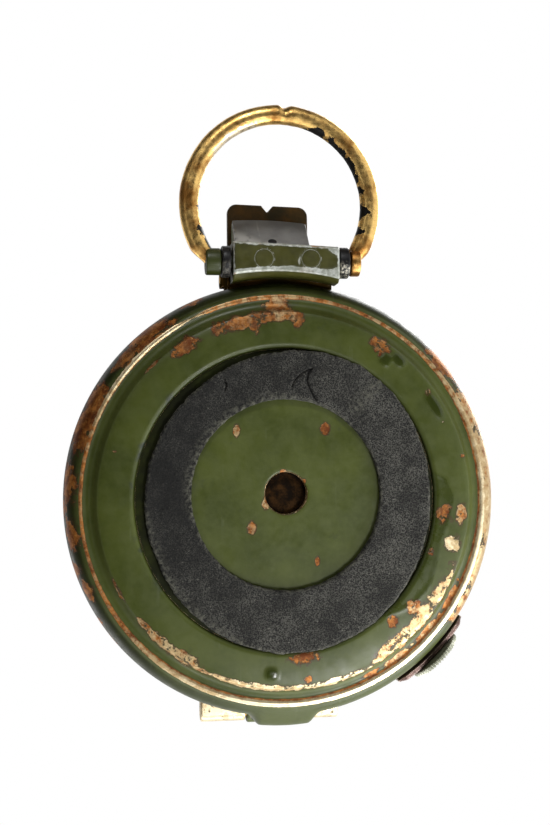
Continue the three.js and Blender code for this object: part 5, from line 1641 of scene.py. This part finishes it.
def prism_sight():
    """A black disc on the cover: painted shade that stands for the sighting hole."""
    middle = HOOD_FOOT + HOOD_RUN * 0.555 + HOOD_OUT * 0.14
    ring = [(0, 0.0, 0), (0.68, 0.0, 0.05), (0.75, 0.06, 0.03), (0.75, 0.3, 0), (0, 0.3, 0)]
    turn = Vector((0, 0, 1)).rotation_difference(-HOOD_OUT).to_matrix()
    corners, faces = turned(rounded(ring, 3, False), 40)
    shape = [tuple(turn @ Vector(corner) + middle) for corner in corners], faces
    facing_out(piece("prism_sight", shape, "prism", BLACK_STEEL, ()))


def dress(node, paint, rounds=0.0):
    """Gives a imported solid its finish, and rounds its edges."""
    made = nodes[node]
    made.data.shade_smooth()
    made.data.set_sharp_from_angle(angle=math.radians(35))
    made.data.materials.clear()
    made.data.materials.append(paint)
    if rounds:
        soften(made, rounds, 2, 40)


def packed_pieces():
    """The solids that stay as they were packed, each with its finish."""
    dress("prism_box", FITTING_PAINT, 0.15)
    dress("prism_bracket", BRACKET_PAINT, 0.2)
    dress("prism_hinge_pin", BOSS_BRASS, 0.1)
    dress("prism_window_plate", BOSS_BRASS, 0.08)
    for side in ("left", "right"):
        dress("bracket_screw_" + side, BOSS_BRASS, 0.08)
        dress("bridge_screw_" + side, BRIGHT_STEEL, 0.08)
        dress("magnet_" + side, BLACK_STEEL, 0.1)
    dress("pivot_bridge", INNER_BRASS, 0.1)
    dress("pivot_post", BRIGHT_STEEL)
    dress("jewel_cap", BOSS_BRASS, 0.06)
    dress("bezel_snap_ring", BRIGHT_STEEL)
    for node in ("prism_glass", "eye_lens"):
        dress(node, CLEAR_GLASS)
        nodes[node].visible_shadow = nodes[node].visible_diffuse = False


# Stage. Lengths are metres.

def aimed(made, place, aim):
    """Puts a lamp or a card at a place, facing what it is aimed at."""
    made.location = place
    made.rotation_mode = "QUATERNION"
    made.rotation_quaternion = (Vector(aim) - Vector(place)).to_track_quat("-Z", "Y")
    link_to_scene(made)


def flat_sheet(name, wide, high, paint):
    """A flat rectangle about its own middle."""
    w, h = wide / 2, high / 2
    mesh = bpy.data.meshes.new(name)
    mesh.from_pydata([(-w, -h, 0), (w, -h, 0), (w, h, 0), (-w, h, 0)], [], [[0, 1, 2, 3]])
    mesh.materials.append(paint)
    return bpy.data.objects.new(name, mesh)


def floor_paper():
    """A pale surface that is clear from below, and fades out away from the part."""
    made, tree, skin = material("floor_paper")
    finish_with(tree, skin, base_color=(0.86, 0.86, 0.85, 1), roughness=0.6)
    clear = put(tree, "BsdfTransparent")
    behind = put(tree, "NewGeometry").outputs["Backfacing"]
    away = put(tree, "VectorMath", {0: on_piece(tree)}, operation="LENGTH").outputs["Value"]
    gone = larger(tree, behind, ease(tree, away, 0.16, 0.5))
    either = put(tree, "MixShader", {0: gone, 1: skin.outputs[0], 2: clear.outputs[0]})
    tree.links.new(either.outputs[0], tree.nodes["Material Output"].inputs["Surface"])
    return made


def studio_floor():
    floor = flat_sheet("studio_floor", 6.0, 6.0, floor_paper())
    link_to_scene(floor)
    floor.visible_diffuse = floor.visible_glossy = floor.visible_shadow = False


def white_world():
    """White to the camera and in reflections, a softer grey as the fill light."""
    world = bpy.data.worlds.new("white_room")
    bpy.context.scene.world = world
    world.use_nodes = True
    tree = world.node_tree
    ray = put(tree, "LightPath").outputs
    seen = larger(tree, ray["Is Glossy Ray"], ray["Is Transmission Ray"])
    seen = larger(tree, ray["Is Camera Ray"], seen)
    backdrop = tree.nodes["Background"]
    feed(tree, backdrop.inputs["Strength"], ease(tree, seen, 0.0, 1.0, 0.09, 1.0))
    feed(tree, backdrop.inputs["Color"], (1, 1, 1, 1))


def lamp(name, place, aim, size, watts, colour=(1, 1, 1)):
    light = bpy.data.lights.new(name, "AREA")
    light.shape = "RECTANGLE"
    light.size, light.size_y = size
    light.energy = watts
    light.color = colour
    aimed(bpy.data.objects.new(name, light), place, aim)


def spot_lamp(name, place, aim, degrees, radius, watts):
    """A soft-edged pool of light."""
    light = bpy.data.lights.new(name, "SPOT")
    light.spot_size = math.radians(degrees)
    light.spot_blend = 1.0
    light.shadow_soft_size = radius
    light.energy = watts
    aimed(bpy.data.objects.new(name, light), place, aim)


def lights():
    """Window-like lamps, one at the lower right of the photographed side, with soft fills."""
    lamp("back_key", (0.19, 0.20, -0.07), (0, 0.005, 0.005), (0.26, 0.2), 0.95, (0.95, 0.98, 1.0))
    spot_lamp("back_pool", (0.10, 0.15, -0.25), (0.016, 0.034, 0), 25, 0.05, 2.7)
    spot_lamp("ring_fill", (-0.03, -0.30, -0.26), (0, -0.030, 0.008), 16, 0.06, 4.2)
    lamp("low_fill", (-0.02, 0.34, -0.03), (0, 0.04, 0.008), (0.3, 0.12), 0.3)
    lamp("top_key", (0.42, -0.3, 0.6), (0, 0, 0.01), (0.5, 0.5), 5.0)
    lamp("top_fill", (-0.55, 0.3, 0.5), (0, 0, 0.01), (0.6, 0.6), 1.4)


def dark_card(name, place, aim, wide, high):
    """A dark card that only reflections see, so that metal keeps its shape in the white room."""
    made, tree, skin = material(name)
    finish_with(tree, skin, base_color=(0.12, 0.115, 0.11, 1), roughness=0.9)
    card = flat_sheet(name, wide, high, made)
    aimed(card, place, aim)
    card.visible_camera = card.visible_diffuse = card.visible_shadow = card.visible_transmission = False


def cards():
    dark_card("card_behind", (-0.15, -0.15, -0.85), (-0.15, -0.15, 0), 1.6, 1.6)
    dark_card("card_beyond", (-0.12, 0.02, 0.9), (-0.12, 0.02, 0), 0.5, 0.5)
    dark_card("card_left", (-0.5, -0.1, 0.1), (0, -0.1, 0.1), 0.9, 0.8)
    dark_card("card_top", (-0.05, -0.55, 0.05), (-0.05, 0, 0.05), 0.9, 0.7)


def camera():
    """The photograph's view: square on the back, from a little to its left."""
    tilt, lift, roll, distance = math.radians(8.2), math.radians(-2.04), math.radians(-0.52), 0.1981
    aim = Vector((-0.00173, -0.00112, 0.0))
    forward = Vector((math.sin(tilt), math.sin(lift), math.cos(tilt))).normalized()
    right = forward.cross(Vector((0, -1, 0))).normalized()
    up = right.cross(forward)
    level = Matrix((right, up, -forward)).transposed()
    lens = bpy.data.cameras.new("camera")
    lens.lens = 57.8
    lens.sensor_width = 36
    lens.clip_start, lens.clip_end = 0.01, 20
    made = bpy.data.objects.new("camera", lens)
    turn = (level @ Matrix.Rotation(roll, 3, "Z")).to_4x4()
    made.matrix_world = Matrix.Translation(aim - forward * distance) @ turn
    link_to_scene(made)
    bpy.context.scene.camera = made


camera()
for build in (
    case_body, hinge_lug, back_disc, back_pad, thumb_ring, ring_joint, ring_block, block_rivets,
    bezel, clamp_plate, clamp_knob, lid_cap, lid_tongue, lid_knuckles, hinge_pin, lid_window,
    dial, under_glass, vent_floor, prism_cover, prism_sight, packed_pieces,
):
    build()
for set_up in (studio_floor, white_world, lights, cards):
    set_up()
bpy.context.scene.view_settings.view_transform = "Standard"
